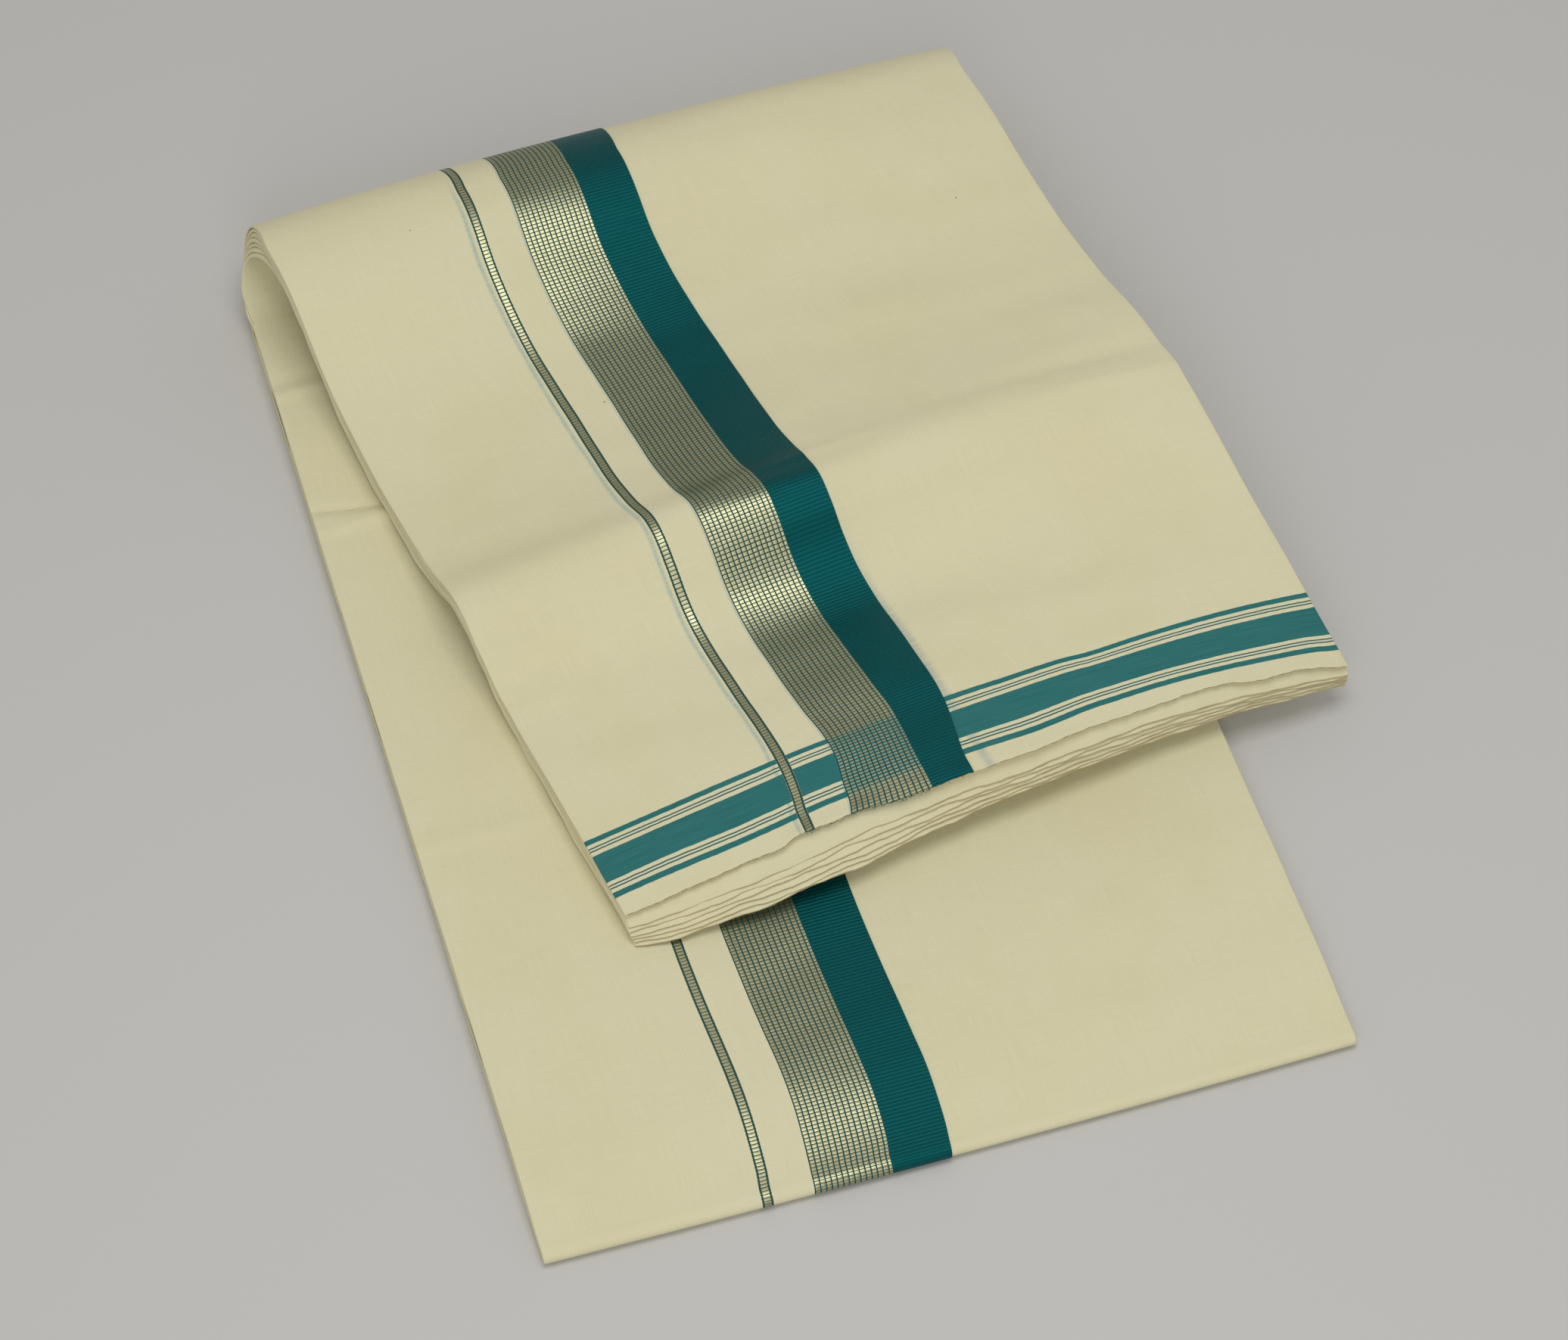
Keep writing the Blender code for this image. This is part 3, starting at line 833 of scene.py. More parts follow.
def cotton_finish(name, sizes, colours, stripes, ghost=None, painted_end_shade=False):
    """Plain cream cotton. A ghost is a place across where a border on the leaf below shows through; the
    grey one beside the selvage is also painted shade of the selvage's step.
    """
    finish = Finish(name, roughness=0.92, sheen=0.12)
    over, slubs = plain_weave(finish, sizes.grain)
    colour = cream_colour(finish, colours, slubs)
    if ghost:
        rough = finish.noise(finish.stretch(0.05, 5.0, 3.0))
        drift = finish.noise(finish.stretch(0.0, 0.03, ghost["lift"]))
        centre = finish.sum("MULTIPLY_ADD", drift, ghost["drift"], ghost["across"] - ghost["drift"] / 2)
        away = finish.sum("ABSOLUTE", finish.sum("SUBTRACT", finish.across, centre))
        strength = finish.range(away, 0.0, ghost["width"], ghost["strength"], 0.0)
        strength = finish.sum("MULTIPLY", strength, finish.range(rough, 0.3, 0.65, 0.25, 1.0))
        if "back" in ghost:
            fading = finish.range(finish.back, *ghost["back"], 1.0, 0.0)
            strength = finish.sum("MULTIPLY", strength, fading)
        colour = finish.blend(strength, colour, ghost["colour"])
    if stripes:
        colour = end_stripes(finish, colours, colour)
    if painted_end_shade:
        # Painted shade: the front end of each hidden leaf is darkened brown, for the shade in the gaps
        # between the leaves
        edge = finish.range(finish.back, 0.02, 0.22, 0.62, 0.0)
        colour = finish.blend(edge, colour, EDGE_SHADE_BROWN)
    finish.colour(colour)
    height = finish.sum("MULTIPLY_ADD", slubs, 1.1, finish.sum("MULTIPLY", over, 0.55))
    finish.bump(height, 0.034 * MM)
    return finish.material


def teal_finish(name, sizes, colours):
    """Ribbed dark teal: weft ribs with dark grooves, and fine warp threads over them."""
    finish = Finish(name, roughness=0.44, specular=0.75, tint=TEAL_SHINE)
    pitch = sizes.weft_pitch / MM
    uneven = finish.noise(finish.stretch(0.12, 0.9, 6.0))
    back = finish.sum("ADD", finish.back, finish.sum("MULTIPLY_ADD", uneven, 0.3, -0.15))
    ribs = finish.wave(back, pitch)
    crown = finish.sum("POWER", ribs, 0.6)
    threads = finish.noise(finish.stretch(3.6, 0.5, 1.0), 3.0)
    dark = tuple(0.5 * value for value in colours.teal)
    light = tuple(min(1.0, 1.35 * value + 0.004) for value in colours.teal)
    base = finish.blend(crown, dark, tuple(colours.teal))
    base = finish.blend(finish.range(threads, 0.45, 0.75, 0.0, 0.55), base, light)
    finish.colour(base)
    height = finish.sum("MULTIPLY_ADD", threads, 0.3, crown)
    finish.bump(height, 0.09 * MM)
    return finish.material


def zari_finish(name, sizes, colours, first, pitch, line, stripes):
    """Gold cells between dark teal warp lines. The weft turns teal where the end stripes cross it."""
    finish = Finish(name)
    weft = sizes.weft_pitch / MM
    uneven = finish.noise(finish.stretch(0.2, 0.6, 6.0))
    back = finish.sum("ADD", finish.back, finish.sum("MULTIPLY_ADD", uneven, 0.30, -0.15))
    across = finish.sum("ADD", finish.across, finish.sum("MULTIPLY_ADD", uneven, 0.16, -0.08))
    columns = finish.wave(across, pitch / MM, first / MM)
    line_edge = math.cos(math.pi * line / pitch) * 0.5 + 0.5
    lines = finish.range(columns, line_edge - 0.10, line_edge + 0.10)
    cells = finish.wave(back, weft)
    gaps = finish.range(cells, 0.80, 0.94)
    striped = 0.0
    if stripes:
        striped = finish.sum("MULTIPLY", finish.range(finish.back, 7.0, 9.0),
                             finish.range(finish.back, 28.5, 30.5, 1.0, 0.0))
    open_gaps = finish.range(cells, 0.34, 0.56)
    gaps = finish.sum("MAXIMUM", gaps, finish.sum("MULTIPLY", open_gaps, striped))
    gold = finish.sum("SUBTRACT", 1.0, finish.sum("MAXIMUM", lines, gaps, clamp=True))
    patch = finish.noise(finish.stretch(0.9, 1.2, 8.0))
    thread = finish.blend(finish.range(patch, 0.35, 0.7), tuple(colours.gold), BRIGHT_ZARI)
    groove = finish.blend(finish.sum("MULTIPLY", striped, 0.8), ZARI_GROOVE, tuple(colours.stripe))
    base = finish.blend(gold, groove, thread)
    base = finish.blend(lines, base, ZARI_WARP)
    finish.colour(base)
    finish.feed(finish.shader.inputs["Metallic"], finish.sum("MULTIPLY", gold, 0.9))
    rough = finish.range(gold, 0.0, 1.0, 0.75, 0.39, smooth=False)
    finish.feed(finish.shader.inputs["Roughness"], rough)
    between_lines = finish.sum("SUBTRACT", 1.0, columns)
    bricks = finish.sum("MULTIPLY", between_lines, finish.sum("SUBTRACT", 1.0, cells))
    bricks = finish.sum("POWER", bricks, 0.45)
    height = finish.sum("MULTIPLY_ADD", patch, 0.2, bricks)
    finish.bump(height, 0.04 * MM)
    return finish.material


def thread_finish(name, colour):
    """A loose thread, with fine twist along it."""
    finish = Finish(name, roughness=0.85, sheen=0.1)
    twist = finish.wave(finish.sum("ADD", finish.across, finish.sum("MULTIPLY", finish.back, 0.6)), 0.35)
    dark = tuple(0.6 * value for value in colour)
    finish.colour(finish.blend(twist, dark, colour))
    finish.bump(twist, 0.03 * MM)
    return finish.material


FINISHES = {}


def finishes():
    """All finishes of the cloth, made once."""
    if FINISHES:
        return FINISHES
    sizes = bpy.context.scene.cloth_sizes
    colours = bpy.context.scene.cloth_colours
    zari_lines = {"first": ZARI_START + 0.2 * MM, "pitch": sizes.warp_pitch, "line": 0.40 * MM}
    narrow_lines = {"first": LINE_START + 0.4 * MM, "pitch": 2.6 * MM, "line": 0.5 * MM}
    FINISHES.update({
        "fold": cotton_finish("cotton_fold_leaf", sizes, colours, True, GHOSTS["line"]),
        "gap": cotton_finish("cotton_plain_gap", sizes, colours, True, GHOSTS["zari"]),
        "field": cotton_finish("cotton_field_leaf", sizes, colours, True, GHOSTS["field"]),
        "plain": cotton_finish("cotton_plain", sizes, colours, False),
        # The hidden leaves, with painted shade darkening their front ends
        "pile": cotton_finish("cotton_pile", sizes, colours, False, painted_end_shade=True),
        "teal": teal_finish("teal_band", sizes, colours),
        "zari": zari_finish("zari_band", sizes, colours, **zari_lines, stripes=False),
        "end_zari": zari_finish("zari_band_end", sizes, colours, **zari_lines, stripes=True),
        "line": zari_finish("zari_line", sizes, colours, **narrow_lines, stripes=False),
        "cream_thread": thread_finish("cream_thread", tuple(colours.cream)),
        "teal_thread": thread_finish("teal_thread", LOOSE_TEAL),
        # A brown thread finish that paints the shadow line under the cut edges
        "edge_shadow_thread": thread_finish("edge_shadow_thread", EDGE_SHADOW_BROWN),
    })
    return FINISHES


# Pieces

# How far the field leaf lies in from the left side, and the brown thread of painted shadow along its cut
# edge from the right one
EDGE_INSET = 1.2 * MM

# Bands of the face: where each begins and ends across the packet, its finish and its slot
BORDER_BANDS = table(
    "name start end finish slot",
    ("fold_leaf", 0.0, LINE_START, "fold", "cotton"),
    ("zari_line", LINE_START, LINE_END, "line", "zari"),
    ("plain_gap", LINE_END, ZARI_START, "gap", "cotton"),
    ("zari_band", ZARI_START, ZARI_END, "zari", "zari"),
    ("teal_band", ZARI_END, SELVAGE, "teal", "teal"),
    ("field_leaf", EDGE_INSET, PACKET_WIDTH, "field", "cotton"),
)
STRIPED = ("fold_leaf", "plain_gap", "field_leaf")

# Depths under the face and heights of the folds at its edges
FIELD_DEPTH = 0.44 * MM
FIELD_FOLD = 0.92 * MM
FACE_FOLD = 0.84 * MM
SLEEVE_START = 0.92 * MM

# Hidden leaves: how far they lie in from the sides, the columns of a flat wall and of a side fold, how
# deep an open end goes, the gap under each leaf as a share of its stack, and the first seed
SIDE_INSET = 0.35 * MM
OPEN_COLUMNS = 98
CLOSED_COLUMNS = 56
SIDE_COLUMNS = 7
POCKET = 12 * MM
UPPER_GAP = 0.014
LOWER_GAP = 0.05
UPPER_SEED = 40
LOWER_SEED = 90

# Open ends of the hidden leaves: how far back the fan and the hanging reach, how thick a tip is, how far
# the under wall stops short of the top one, and the wandering of the two edges
FAN_LENGTH = 18 * MM
HANG_LENGTH = 9 * MM
TIP_THICKNESS = 0.75 * MM
UNDER_STEP = 0.35 * MM
TIP_WAVES = ((90 * MM, 0.016), (37 * MM, 0.014), (17 * MM, 0.007))
LEAF_EDGE_WAVES = ((31 * MM, 0.20 * MM), (12 * MM, 0.13 * MM), (5.1 * MM, 0.07 * MM))

# Wandering of the sides of the leaves and of their cut edges: the length and the height of each wave
LEFT_WAVES = ((130 * MM, 0.35 * MM), (41 * MM, 0.22 * MM), (17 * MM, 0.10 * MM))
RIGHT_WAVES = ((150 * MM, 0.35 * MM), (47 * MM, 0.22 * MM), (19 * MM, 0.10 * MM))
BORDER_WAVES = ((23 * MM, 0.12 * MM), (7.1 * MM, 0.10 * MM), (3.3 * MM, 0.07 * MM))
FIELD_WAVES = ((29 * MM, 0.12 * MM), (8.3 * MM, 0.12 * MM), (3.7 * MM, 0.08 * MM))

# Runs of the faces along the floor, beyond the loop's foot and the front fold
UPPER_FLOOR_RUN = AXIS_LEFT - 24 * MM
LOWER_FLOOR_RUN = 24 * MM


def band_columns(band, thickness):
    """Columns of one band of the face, with its fold where it lies at an edge of the packet."""
    if band["name"] == "fold_leaf":
        return join_columns(left_fold(0.0, FACE_FOLD, thickness),
                            flat_columns(FACE_FOLD / 2, band["end"], 0.0, thickness))
    if band["name"] == "field_leaf":
        flat_end = PACKET_WIDTH - FIELD_FOLD / 2
        return join_columns(flat_columns(band["start"], flat_end, FIELD_DEPTH, thickness),
                            right_fold(FIELD_DEPTH, FIELD_FOLD, thickness))
    return flat_columns(band["start"], band["end"], 0.0, thickness)


def cut_edge(across):
    """How far the border leaf's cut edge stands forward of its straight line."""
    return wander(across, 21, BORDER_WAVES) - read_rows(CUT_EDGES, "across", "border", across)


def field_edge(across):
    """The same for the field leaf under it."""
    return wander(across, 22, FIELD_WAVES) - read_rows(CUT_EDGES, "across", "field", across)


def edge_lift(edge, across):
    """How far a cut edge stands up off the leaf under it."""
    return read_rows(CUT_EDGES, "across", "border_lift" if edge is cut_edge else "field_lift", across)


def declare_bands(made, stretch):
    """Take the zari line's piece out of the pieces made for a face. The zari line is woven into the fold
    leaf.
    """
    line = made.pop(f"{stretch}_zari_line")[0]


def hidden_leaf(number, count, gap, seed, tip=None):
    """A hidden leaf's place in its stack, as shares, with its own seed and the tip of its open end."""
    return {"top": number / count, "under": (number + 1) / count - gap, "seed": seed + 7 * number,
            "tip": tip}


class DHOTI_OT_hidden_leaves(bpy.types.Operator):
    """Build the folded leaves that show in layers at the edges and at the cut end"""

    bl_idname = "dhoti.hidden_leaves"
    bl_label = "Hidden Leaves"

    def execute(self, context):
        sizes = context.scene.cloth_sizes
        count = sizes.upper_leaves
        rows = spaced(0.0, (2.4 * MM, 0.4 * MM), (9 * MM, 0.8 * MM), (24 * MM, 1.5 * MM),
                      (60 * MM, 2.6 * MM), (260 * MM, 3.6 * MM), (UPPER_FOOT, 2.4 * MM))
        tips = np.interp(np.linspace(0, 1, count), np.linspace(0, 1, len(LEAF_TIPS)), LEAF_TIPS)
        for number in range(count):
            sleeve = hidden_leaf(number, count, UPPER_GAP, UPPER_SEED, float(tips[number]))
            piece = sleeve_piece(f"outer_leaf_{number + 1}", outer_face, upper_stack, rows, sleeve,
                                 ("upper_layers", "loop_layers"))
        count = sizes.lower_leaves
        foot = AXIS_LEFT - SOLID_SEAM
        run = FRONT_TURN + foot
        rows = spaced(-run, (12 * MM - run, 4 * MM), (-FRONT_TURN - 4 * MM, 9 * MM), (4 * MM, 0.9 * MM),
                      (220 * MM, 3.6 * MM), (foot, 2.4 * MM))
        for number in range(count):
            piece = sleeve_piece(f"lower_leaf_{number + 1}", lower_face, half_stack, rows,
                                 hidden_leaf(number, count, LOWER_GAP, LOWER_SEED), ("lower_layers",))
        return {"FINISHED"}


def half_stack(back, across):
    """Half the thickness of the lower stretch, into which its leaves are folded."""
    return lower_stack(np.where(back >= 0, back, -back - FRONT_TURN), across) / 2


def leaf_end(rows, across, down, sleeve):
    """Place, tip and hang of a hidden leaf near its cut end, where it hangs over the next leaf."""
    seed, tip = sleeve["seed"], sleeve["tip"]
    # The two walls of a sleeve end together, and their edges wander on their own
    ends = tip + wander(across, seed, TIP_WAVES)
    reach = read_rows(FAN_REACH, "across", "reach", across)
    start = -read_rows(STRIPE_DRIFT, "across", "thin", across) - 0.2 * MM
    edges = [mix(start, reach, ends) + wander(across, seed + wall, LEAF_EDGE_WAVES) for wall in (1, 2)]
    forward = mix(edges[0], edges[1] - UNDER_STEP, down)
    place = rows - forward * (1 - ease(rows / FAN_LENGTH))
    hang = np.clip(1 - rows / HANG_LENGTH, 0.0, 1.0) ** 2
    tips = mix(ends, ends + TIP_THICKNESS / UPPER_STACK, down)
    return place, tips, hang


def sleeve_piece(name, face, stack, rows, sleeve, nodes):
    """A folded leaf as a flat sleeve, with a round fold at each side and an open front."""
    leaf = bpy.context.scene.cloth_sizes.leaf
    open_end = sleeve["tip"] is not None
    top, under, seed = sleeve["top"], sleeve["under"], sleeve["seed"]
    flat = np.linspace(0, 1, OPEN_COLUMNS if open_end else CLOSED_COLUMNS)
    turns = np.linspace(0, math.pi, SIDE_COLUMNS + 2)[1:-1]
    # Round the section: top wall, right fold, under wall, left fold
    run = np.concatenate([flat, np.ones(len(turns)), flat[::-1], np.zeros(len(turns))])
    out = np.concatenate([0 * flat, np.sin(turns), 0 * flat, -np.sin(turns)])
    down = np.concatenate([0 * flat, (1 - np.cos(turns)) / 2, 0 * flat + 1, (1 + np.cos(turns)) / 2])
    down = down[None, :]
    backs = rows[:, None]
    half = (under - top) * (UPPER_STACK if open_end else LOWER_STACK / 2) / 2
    left = wander(backs, seed + 3, LEFT_WAVES)
    right = wander(backs, seed + 4, RIGHT_WAVES)

    def surface(inset):
        start = SIDE_INSET + left + inset
        end = PACKET_WIDTH - SIDE_INSET + right - inset
        round_by = half - inset
        across = start + round_by + run[None, :] * (end - start - 2 * round_by) + out[None, :] * round_by
        room = stack(backs, across) - SLEEVE_START
        share = mix(top, under, down)
        place = backs + 0 * across
        marked = np.stack([across, place], -1)
        if open_end:
            place, tips, hang = leaf_end(backs, across, down, sleeve)
            share = mix(share, tips, hang)
        depth = SLEEVE_START + room * share + np.where(down > 0.5, -inset, inset)
        return face(place, across, depth), marked

    outer, outer_places = surface(0.0)
    around = outer.shape[1]
    parts = [outer.reshape(-1, 3)]
    places = [outer_places.reshape(-1, 2)]
    faces = []
    last = len(rows) - 1

    def at(i, j):
        return i * around + j % around

    for i in range(last):
        for j in range(around):
            faces.append((at(i, j), at(i, j + 1), at(i + 1, j + 1), at(i + 1, j)))
    offset = (last + 1) * around
    if open_end:
        pocket = int(np.searchsorted(rows, POCKET))
        inner, inner_places = surface(leaf)
        parts.append(inner[:pocket + 1].reshape(-1, 3))
        places.append(inner_places[:pocket + 1].reshape(-1, 2))
        for j in range(around):
            faces.append((at(0, j + 1), at(0, j), offset + at(0, j), offset + at(0, j + 1)))
        for i in range(pocket):
            for j in range(around):
                corners = (at(i, j + 1), at(i, j), at(i + 1, j), at(i + 1, j + 1))
                faces.append(tuple(offset + corner for corner in corners))
        add_cap(faces, [offset + at(pocket, j) for j in range(around)], len(flat), len(turns), True)
    else:
        add_cap(faces, [at(0, j) for j in range(around)], len(flat), len(turns), True)
    add_cap(faces, [at(last, j) for j in range(around)], len(flat), len(turns), False)
    look = finishes()["pile" if open_end else "plain"]
    return add_piece(name, np.concatenate(parts), faces, np.concatenate(places), look, nodes)


def add_cap(faces, ring, flat, turns, front):
    """Close a ring of a sleeve with faces from its top wall to its under wall."""
    upper = ring[len(ring) - turns // 2:] + ring[:flat] + ring[flat:flat + turns // 2]
    middle_right = ring[flat + turns // 2]
    middle_left = ring[len(ring) - turns // 2 - 1]
    lower = ring[flat + turns // 2 + 1:len(ring) - turns // 2 - 1][::-1]
    strip_upper = [middle_left] + upper + [middle_right]
    strip_lower = [middle_left] + lower + [middle_right]
    for k in range(len(strip_upper) - 1):
        quad = [strip_upper[k], strip_upper[k + 1], strip_lower[k + 1], strip_lower[k]]
        corners = []
        for corner in quad:
            if corner not in corners:
                corners.append(corner)
        if not front:
            corners.reverse()
        faces.append(tuple(corners))


class DHOTI_OT_upper_face(bpy.types.Operator):
    """Weave the leaves and bands that show on the upper stretch and run on round the loop"""

    bl_idname = "dhoti.upper_face"
    bl_label = "Upper Face"

    def execute(self, context):
        leaf = context.scene.cloth_sizes.leaf
        margin = spaced(0.0, (4 * MM, 0.8 * MM), (STRIPE_START, 1.6 * MM))
        stripe = spaced(STRIPE_START, (STRIPE_END, 1.7 * MM))
        rest = spaced(STRIPE_END, (160 * MM, 1.4 * MM), (260 * MM, 2.2 * MM), (UPPER_FOOT, 1.8 * MM),
                      (UPPER_FOOT + 10 * MM, 3 * MM), (UPPER_FOOT + UPPER_FLOOR_RUN, 24 * MM))
        made = {}
        for band in BORDER_BANDS:
            name = band["name"]
            columns = band_columns(band, leaf)
            look = finishes()["end_zari" if name == "zari_band" else band["finish"]]
            front = field_edge if name == "field_leaf" else cut_edge
            drift = None if name == "field_leaf" else UPPER_DRIFT
            if name in STRIPED:
                parts = ((f"upper_{name}_margin", margin, "cotton", front),
                         (f"upper_{name}_stripe", stripe, "stripe", None),
                         (f"upper_{name}", rest, "cotton", None))
            else:
                whole = np.concatenate([margin, stripe[1:], rest[1:]])
                parts = ((f"upper_{name}", whole, band["slot"], front),)
            for node, backs, slot, edge in parts:
                piece = leaf_piece(f"{node}_cloth", outer_face, backs, columns, look, (node,),
                                   edge, drift)
                made[node] = (piece, band["end"] - band["start"], backs[-1] - backs[0])
        declare_bands(made, "upper")
        return {"FINISHED"}


class DHOTI_OT_lower_face(bpy.types.Operator):
    """Weave the leaves and bands that show on the lower stretch and run round the front fold"""

    bl_idname = "dhoti.lower_face"
    bl_label = "Lower Face"

    def execute(self, context):
        leaf = context.scene.cloth_sizes.leaf
        backs = spaced(-FRONT_TURN - LOWER_FLOOR_RUN, (-FRONT_TURN - 2 * MM, 6 * MM), (2 * MM, 0.7 * MM),
                       (130 * MM, 2.2 * MM), (250 * MM, 2.4 * MM), (AXIS_LEFT, 1.3 * MM))
        made = {}
        for band in BORDER_BANDS:
            node = f"lower_{band['name']}"
            look = finishes()["plain" if band["name"] in STRIPED else band["finish"]]
            drift = None if band["name"] == "field_leaf" else LOWER_DRIFT
            piece = leaf_piece(f"{node}_cloth", lower_face, backs, band_columns(band, leaf), look,
                               (node,), drift=drift)
            made[node] = (piece, band["end"] - band["start"], backs[-1] - backs[0])
        declare_bands(made, "lower")
        return {"FINISHED"}


# Threads: the side that tubes turn from, how far back of an edge ends and loops are rooted, and how far
# apart the points of a long thread are, such as the brown threads that paint the shadow line along a cut
# edge
THREAD_GUIDE = np.array([0.13, 0.21, 0.97])
FRAY_ROOT = 0.3 * MM
LOOP_ROOT = 0.25 * MM
EDGE_STEP = 0.9 * MM

# Frayed stretches: how many threads stand out of an edge, their length and sag as shares
CREAM_FRAY = table(
    "count start end edge depth length sag",
    (170, 1 * MM, ZARI_START, cut_edge, 0.0, 0.7, 0.4),
    (240, 4 * MM, PACKET_WIDTH - 2 * MM, field_edge, FIELD_DEPTH, 0.6, 0.4),
)
TEAL_FRAY = table(
    "count start end edge depth length sag",
    (40, ZARI_START, SELVAGE, cut_edge, 0.0, 1.1, 0.6),
    (7, LINE_START, LINE_END, cut_edge, 0.0, 1.2, 0.6),
)
TEAL_LOOPS = table(
    "count start end",
    (15, ZARI_START, ZARI_END),
    (6, LINE_START, ZARI_START),
)
# Threads that paint the shadow line under the cut edges: where each runs across, its edge and its depth
SHADOW_LINE_THREADS = table(
    "start end edge depth",
    (1 * MM, LINE_START, cut_edge, 0.0),
    (LINE_END, ZARI_START, cut_edge, 0.0),
    (SELVAGE, PACKET_WIDTH - EDGE_INSET, field_edge, FIELD_DEPTH),
)


def edge_drift(edge):
    """The drift of the weave at a cut edge. The field leaf has none across."""
    return UPPER_DRIFT if edge is cut_edge else None


def tube(points, radius, sides):
    """Points and faces of a thin closed tube along a route."""
    points = np.asarray(points)
    tangents = np.gradient(points, axis=0)
    tangents /= np.linalg.norm(tangents, axis=1)[:, None]
    side = np.cross(tangents, THREAD_GUIDE)
    side /= np.linalg.norm(side, axis=1)[:, None]
    over = np.cross(side, tangents)
    rings = []
    for turn in np.linspace(0, 2 * math.pi, sides, endpoint=False):
        rings.append(points + radius * (math.cos(turn) * side + math.sin(turn) * over))
    verts = np.stack(rings, 1).reshape(-1, 3)
    faces = []
    for i in range(len(points) - 1):
        for j in range(sides):
            k = (j + 1) % sides
            faces.append((i * sides + j, i * sides + k, (i + 1) * sides + k, (i + 1) * sides + j))
    faces.append(tuple(range(sides))[::-1])
    faces.append(tuple(range((len(points) - 1) * sides, len(points) * sides)))
    return verts, faces


def thread_piece(name, routes, radius, finish, sides):
    """Many short threads as one piece, each with its own place map, a step for each point and side."""
    all_verts, all_faces, all_places = [], [], []
    total = 0
    for route in routes:
        verts, faces = tube(route, radius, sides)
        all_verts.append(verts)
        all_faces += [tuple(index + total for index in face) for face in faces]
        along = np.repeat(np.arange(len(route)), sides) * 0.3 * MM
        around = np.tile(np.arange(sides), len(route)) * 0.1 * MM
        all_places.append(np.stack([along, around], -1))
        total += len(verts)
    return add_piece(name, np.concatenate(all_verts), all_faces, np.concatenate(all_places), finish,
                     ())


def fray_routes(draw, stretch, half, length):
    """Routes of loose threads that stand out of a cut edge."""
    edge = stretch["edge"]
    routes = []
    for across in np.sort(draw.uniform(stretch["start"], stretch["end"], stretch["count"])):
        reach = stretch["length"] * length * draw.uniform(0.25, 1.0) ** 1.5
        sideways = draw.uniform(-0.6, 0.6) * reach
        drop = draw.uniform(-0.1, 1.0) * stretch["sag"] * reach
        steps = np.linspace(0, 1, 4)
        front = float(edge(np.array(across)))
        backs = -front + FRAY_ROOT - steps * (reach + FRAY_ROOT)
        acrosses = across + sideways * steps ** 2
        lift = float(edge_lift(edge, np.array(across)))
        depths = stretch["depth"] + half - lift + drop * steps ** 2
        routes.append(on_weave(outer_face, edge_drift(edge), backs, acrosses, depths))
    return routes


def loop_routes(draw, stretch, half):
    """Routes of slack weft threads that stand out of the border's cut edge in small loops."""
    start, end, count = stretch["start"], stretch["end"], stretch["count"]
    routes = []
    for left in np.linspace(start, end, count, endpoint=False):
        steps = np.linspace(0, 1, 8)
        wide = draw.uniform(0.6, 1.7) * (end - start) / count
        reach = draw.uniform(0.2, 0.9) * MM
        acrosses = left + draw.uniform(0, 0.4) * MM + wide * steps
        arch = np.sin(math.pi * steps)
        backs = LOOP_ROOT - cut_edge(acrosses) - (reach + LOOP_ROOT) * arch
        depths = half - edge_lift(cut_edge, acrosses) + draw.uniform(-0.2, 0.5) * reach * arch
        routes.append(on_weave(outer_face, UPPER_DRIFT, backs, acrosses, depths))
    return routes


def edge_route(stretch, half):
    """Route of a brown thread along a cut edge, which paints the shadow line under the edge."""
    edge = stretch["edge"]
    points = max(3, round((stretch["end"] - stretch["start"]) / EDGE_STEP))
    acrosses = np.linspace(stretch["start"], stretch["end"], points)
    backs = -edge(acrosses) - 0.03 * MM
    depths = stretch["depth"] + half - edge_lift(edge, acrosses)
    depths = depths + wander(acrosses, 31, ((9 * MM, 0.05 * MM), (4 * MM, 0.04 * MM)))
    return on_weave(outer_face, edge_drift(edge), backs, acrosses, depths)


class DHOTI_OT_thread_ends(bpy.types.Operator):
    """Add the frayed threads at the cut edges"""

    bl_idname = "dhoti.thread_ends"
    bl_label = "Thread Ends"

    def execute(self, context):
        sizes = context.scene.cloth_sizes
        draw = np.random.default_rng(5)
        half = sizes.leaf / 2
        radius = sizes.thread / 2
        cream, teal = [], []
        for stretch in CREAM_FRAY:
            cream += fray_routes(draw, stretch, half, sizes.fray)
        for stretch in TEAL_FRAY:
            teal += fray_routes(draw, stretch, half, sizes.fray)
        for stretch in TEAL_LOOPS:
            teal += loop_routes(draw, stretch, half)
        # Brown threads along the cut edges paint the shadow line under each edge
        last = [edge_route(stretch, half) for stretch in SHADOW_LINE_THREADS]
        look = finishes()
        thread_piece("cream_thread_ends", cream, 0.6 * radius, look["cream_thread"], 3)
        thread_piece("teal_thread_ends", teal, 0.8 * radius, look["teal_thread"], 4)
        # The edge threads are brown threads of painted shadow along the cut edges
        thread_piece("edge_threads", last, radius, look["edge_shadow_thread"], 4)
        return {"FINISHED"}


# Stage, in metres. The camera's place and aim are measured from the corner of the packet
OVERHEAD_PLACE = (0.0, -0.15, 1.24)
OVERHEAD_SIZE = 0.6
FRONT_PLACE = (-0.35, -1.25, 0.95)
FRONT_SIZE = 0.8
ROOM_COLOUR = (1.0, 0.985, 0.955, 1.0)
CAMERA_PLACE = (-0.1236, -0.6430, 1.1822)
CAMERA_AIM = (0.1305, 0.1824, 0.0)
CAMERA_LENS = 105.06
FLOOR_DROP = 0.25 * MM


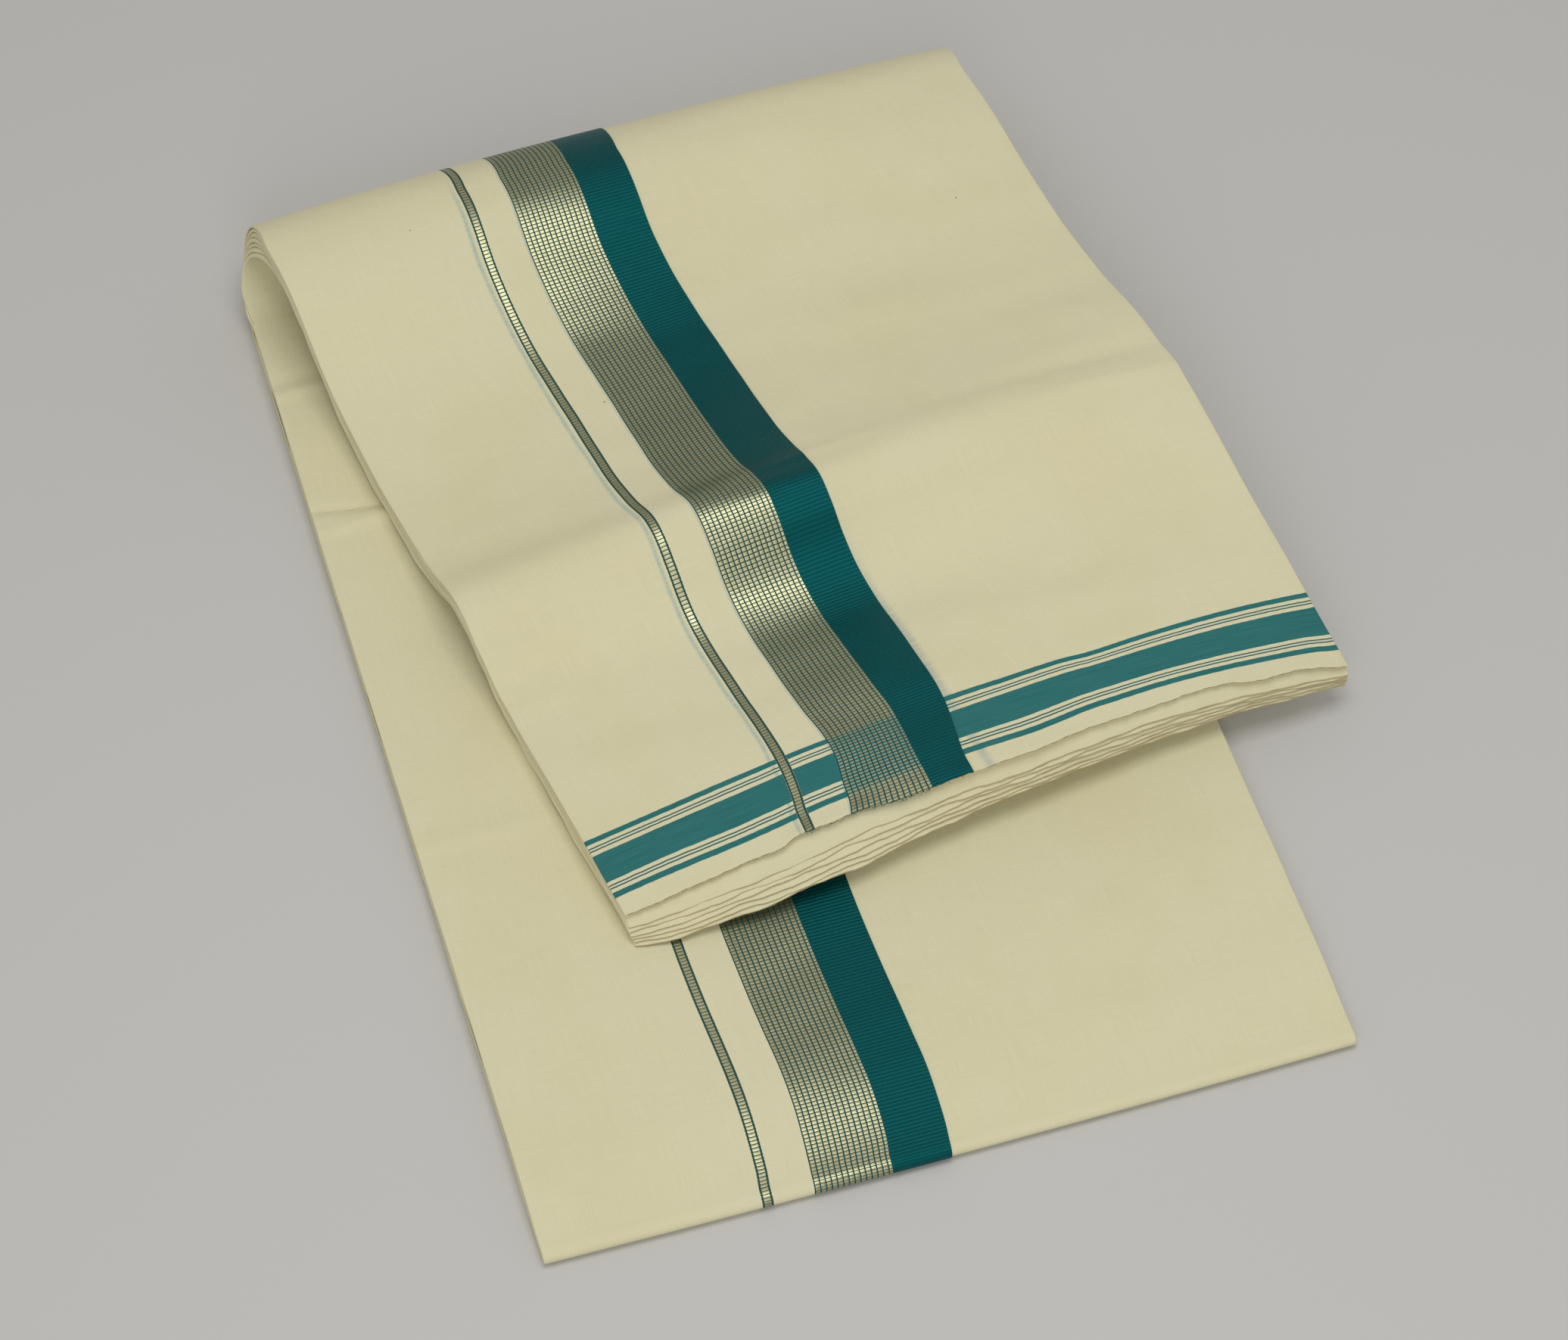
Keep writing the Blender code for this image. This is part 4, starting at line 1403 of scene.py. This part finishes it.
class DHOTI_OT_stage(bpy.types.Operator):
    """Set the plain floor, the soft lights and the camera"""

    bl_idname = "dhoti.stage"
    bl_label = "Stage"

    def execute(self, context):
        settings = context.scene.stage_settings
        build_floor(settings)
        add_area("overhead_light", OVERHEAD_PLACE, OVERHEAD_SIZE, settings.overhead)
        add_area("front_light", FRONT_PLACE, FRONT_SIZE, settings.front)
        world = bpy.data.worlds.new("room")
        world.use_nodes = True
        background = world.node_tree.nodes["Background"]
        background.inputs["Color"].default_value = ROOM_COLOUR
        background.inputs["Strength"].default_value = settings.room
        context.scene.world = world
        context.scene.view_settings.view_transform = "Standard"
        camera = bpy.data.cameras.new("camera")
        camera.lens = CAMERA_LENS
        camera.sensor_width = 36.0
        camera.clip_start = 0.01
        viewer = bpy.data.objects.new("camera", camera)
        corner = Vector(PACKET_CORNER)
        viewer.location = Vector(CAMERA_PLACE) + corner
        face_towards(viewer, Vector(CAMERA_AIM) + corner)
        context.scene.collection.objects.link(viewer)
        context.scene.camera = viewer
        return {"FINISHED"}


def face_towards(thing, aim):
    """Turn a light or a camera towards a point."""
    thing.rotation_euler = (aim - thing.location).to_track_quat("-Z", "Y").to_euler()


def add_area(name, place, size, power):
    """A square soft light that faces the middle of the cloth."""
    data = bpy.data.lights.new(name, "AREA")
    data.shape = "SQUARE"
    data.size = size
    data.energy = power
    light = bpy.data.objects.new(name, data)
    light.location = place
    face_towards(light, Vector((0.0, 0.0, 0.0)))
    bpy.context.scene.collection.objects.link(light)


def build_floor(settings):
    """A wide plain floor, just under the cloth."""
    shape = bmesh.new()
    bmesh.ops.create_grid(shape, x_segments=8, y_segments=8, size=4.0)
    mesh = bpy.data.meshes.new("floor")
    shape.to_mesh(mesh)
    shape.free()
    material = bpy.data.materials.new("floor_paper")
    material.use_nodes = True
    tree = material.node_tree
    shader = tree.nodes["Principled BSDF"]
    shader.inputs["Roughness"].default_value = 0.85
    noise = tree.nodes.new("ShaderNodeTexNoise")
    noise.inputs["Scale"].default_value = 1.6
    ramp = tree.nodes.new("ShaderNodeValToRGB")
    ramp.color_ramp.elements[0].color = (*[0.97 * c for c in settings.floor], 1.0)
    ramp.color_ramp.elements[1].color = (*settings.floor, 1.0)
    tree.links.new(noise.outputs["Fac"], ramp.inputs[0])
    tree.links.new(ramp.outputs["Color"], shader.inputs["Base Color"])
    mesh.materials.append(material)
    floor = bpy.data.objects.new("floor", mesh)
    floor.location = (0.0, 0.0, -FLOOR_DROP)
    bpy.context.scene.collection.objects.link(floor)


# Panel and registration

class DHOTI_PT_panel(bpy.types.Panel):
    """Lists the sizes, the colours and the steps"""

    bl_idname = "DHOTI_PT_panel"
    bl_label = "Folded Dhoti"
    bl_space_type = "VIEW_3D"
    bl_region_type = "UI"
    bl_category = "Dhoti"

    def draw(self, context):
        layout = self.layout
        titles = {"cloth_sizes": "Cloth", "cloth_colours": "Colours", "stage_settings": "Stage"}
        for key, title in titles.items():
            group = getattr(context.scene, key)
            box = layout.box()
            box.label(text=title)
            for setting in group.__annotations__:
                box.prop(group, setting)
        for operator in OPERATORS:
            layout.operator(operator.bl_idname)


GROUPS = {"cloth_sizes": ClothSizes, "cloth_colours": ClothColours, "stage_settings": StageSettings}
OPERATORS = (DHOTI_OT_stage, DHOTI_OT_hidden_leaves, DHOTI_OT_upper_face, DHOTI_OT_lower_face,
             DHOTI_OT_thread_ends)


def register():
    for cls in (*GROUPS.values(), *OPERATORS, DHOTI_PT_panel):
        bpy.utils.register_class(cls)
    for key, group in GROUPS.items():
        setattr(bpy.types.Scene, key, PointerProperty(type=group))


def unregister():
    for key in GROUPS:
        delattr(bpy.types.Scene, key)
    for cls in reversed((*GROUPS.values(), *OPERATORS, DHOTI_PT_panel)):
        bpy.utils.unregister_class(cls)


def main():
    register()
    bpy.ops.dhoti.stage()
    bpy.ops.dhoti.hidden_leaves()
    bpy.ops.dhoti.upper_face()
    bpy.ops.dhoti.lower_face()
    bpy.ops.dhoti.thread_ends()


if __name__ == "__main__":
    main()
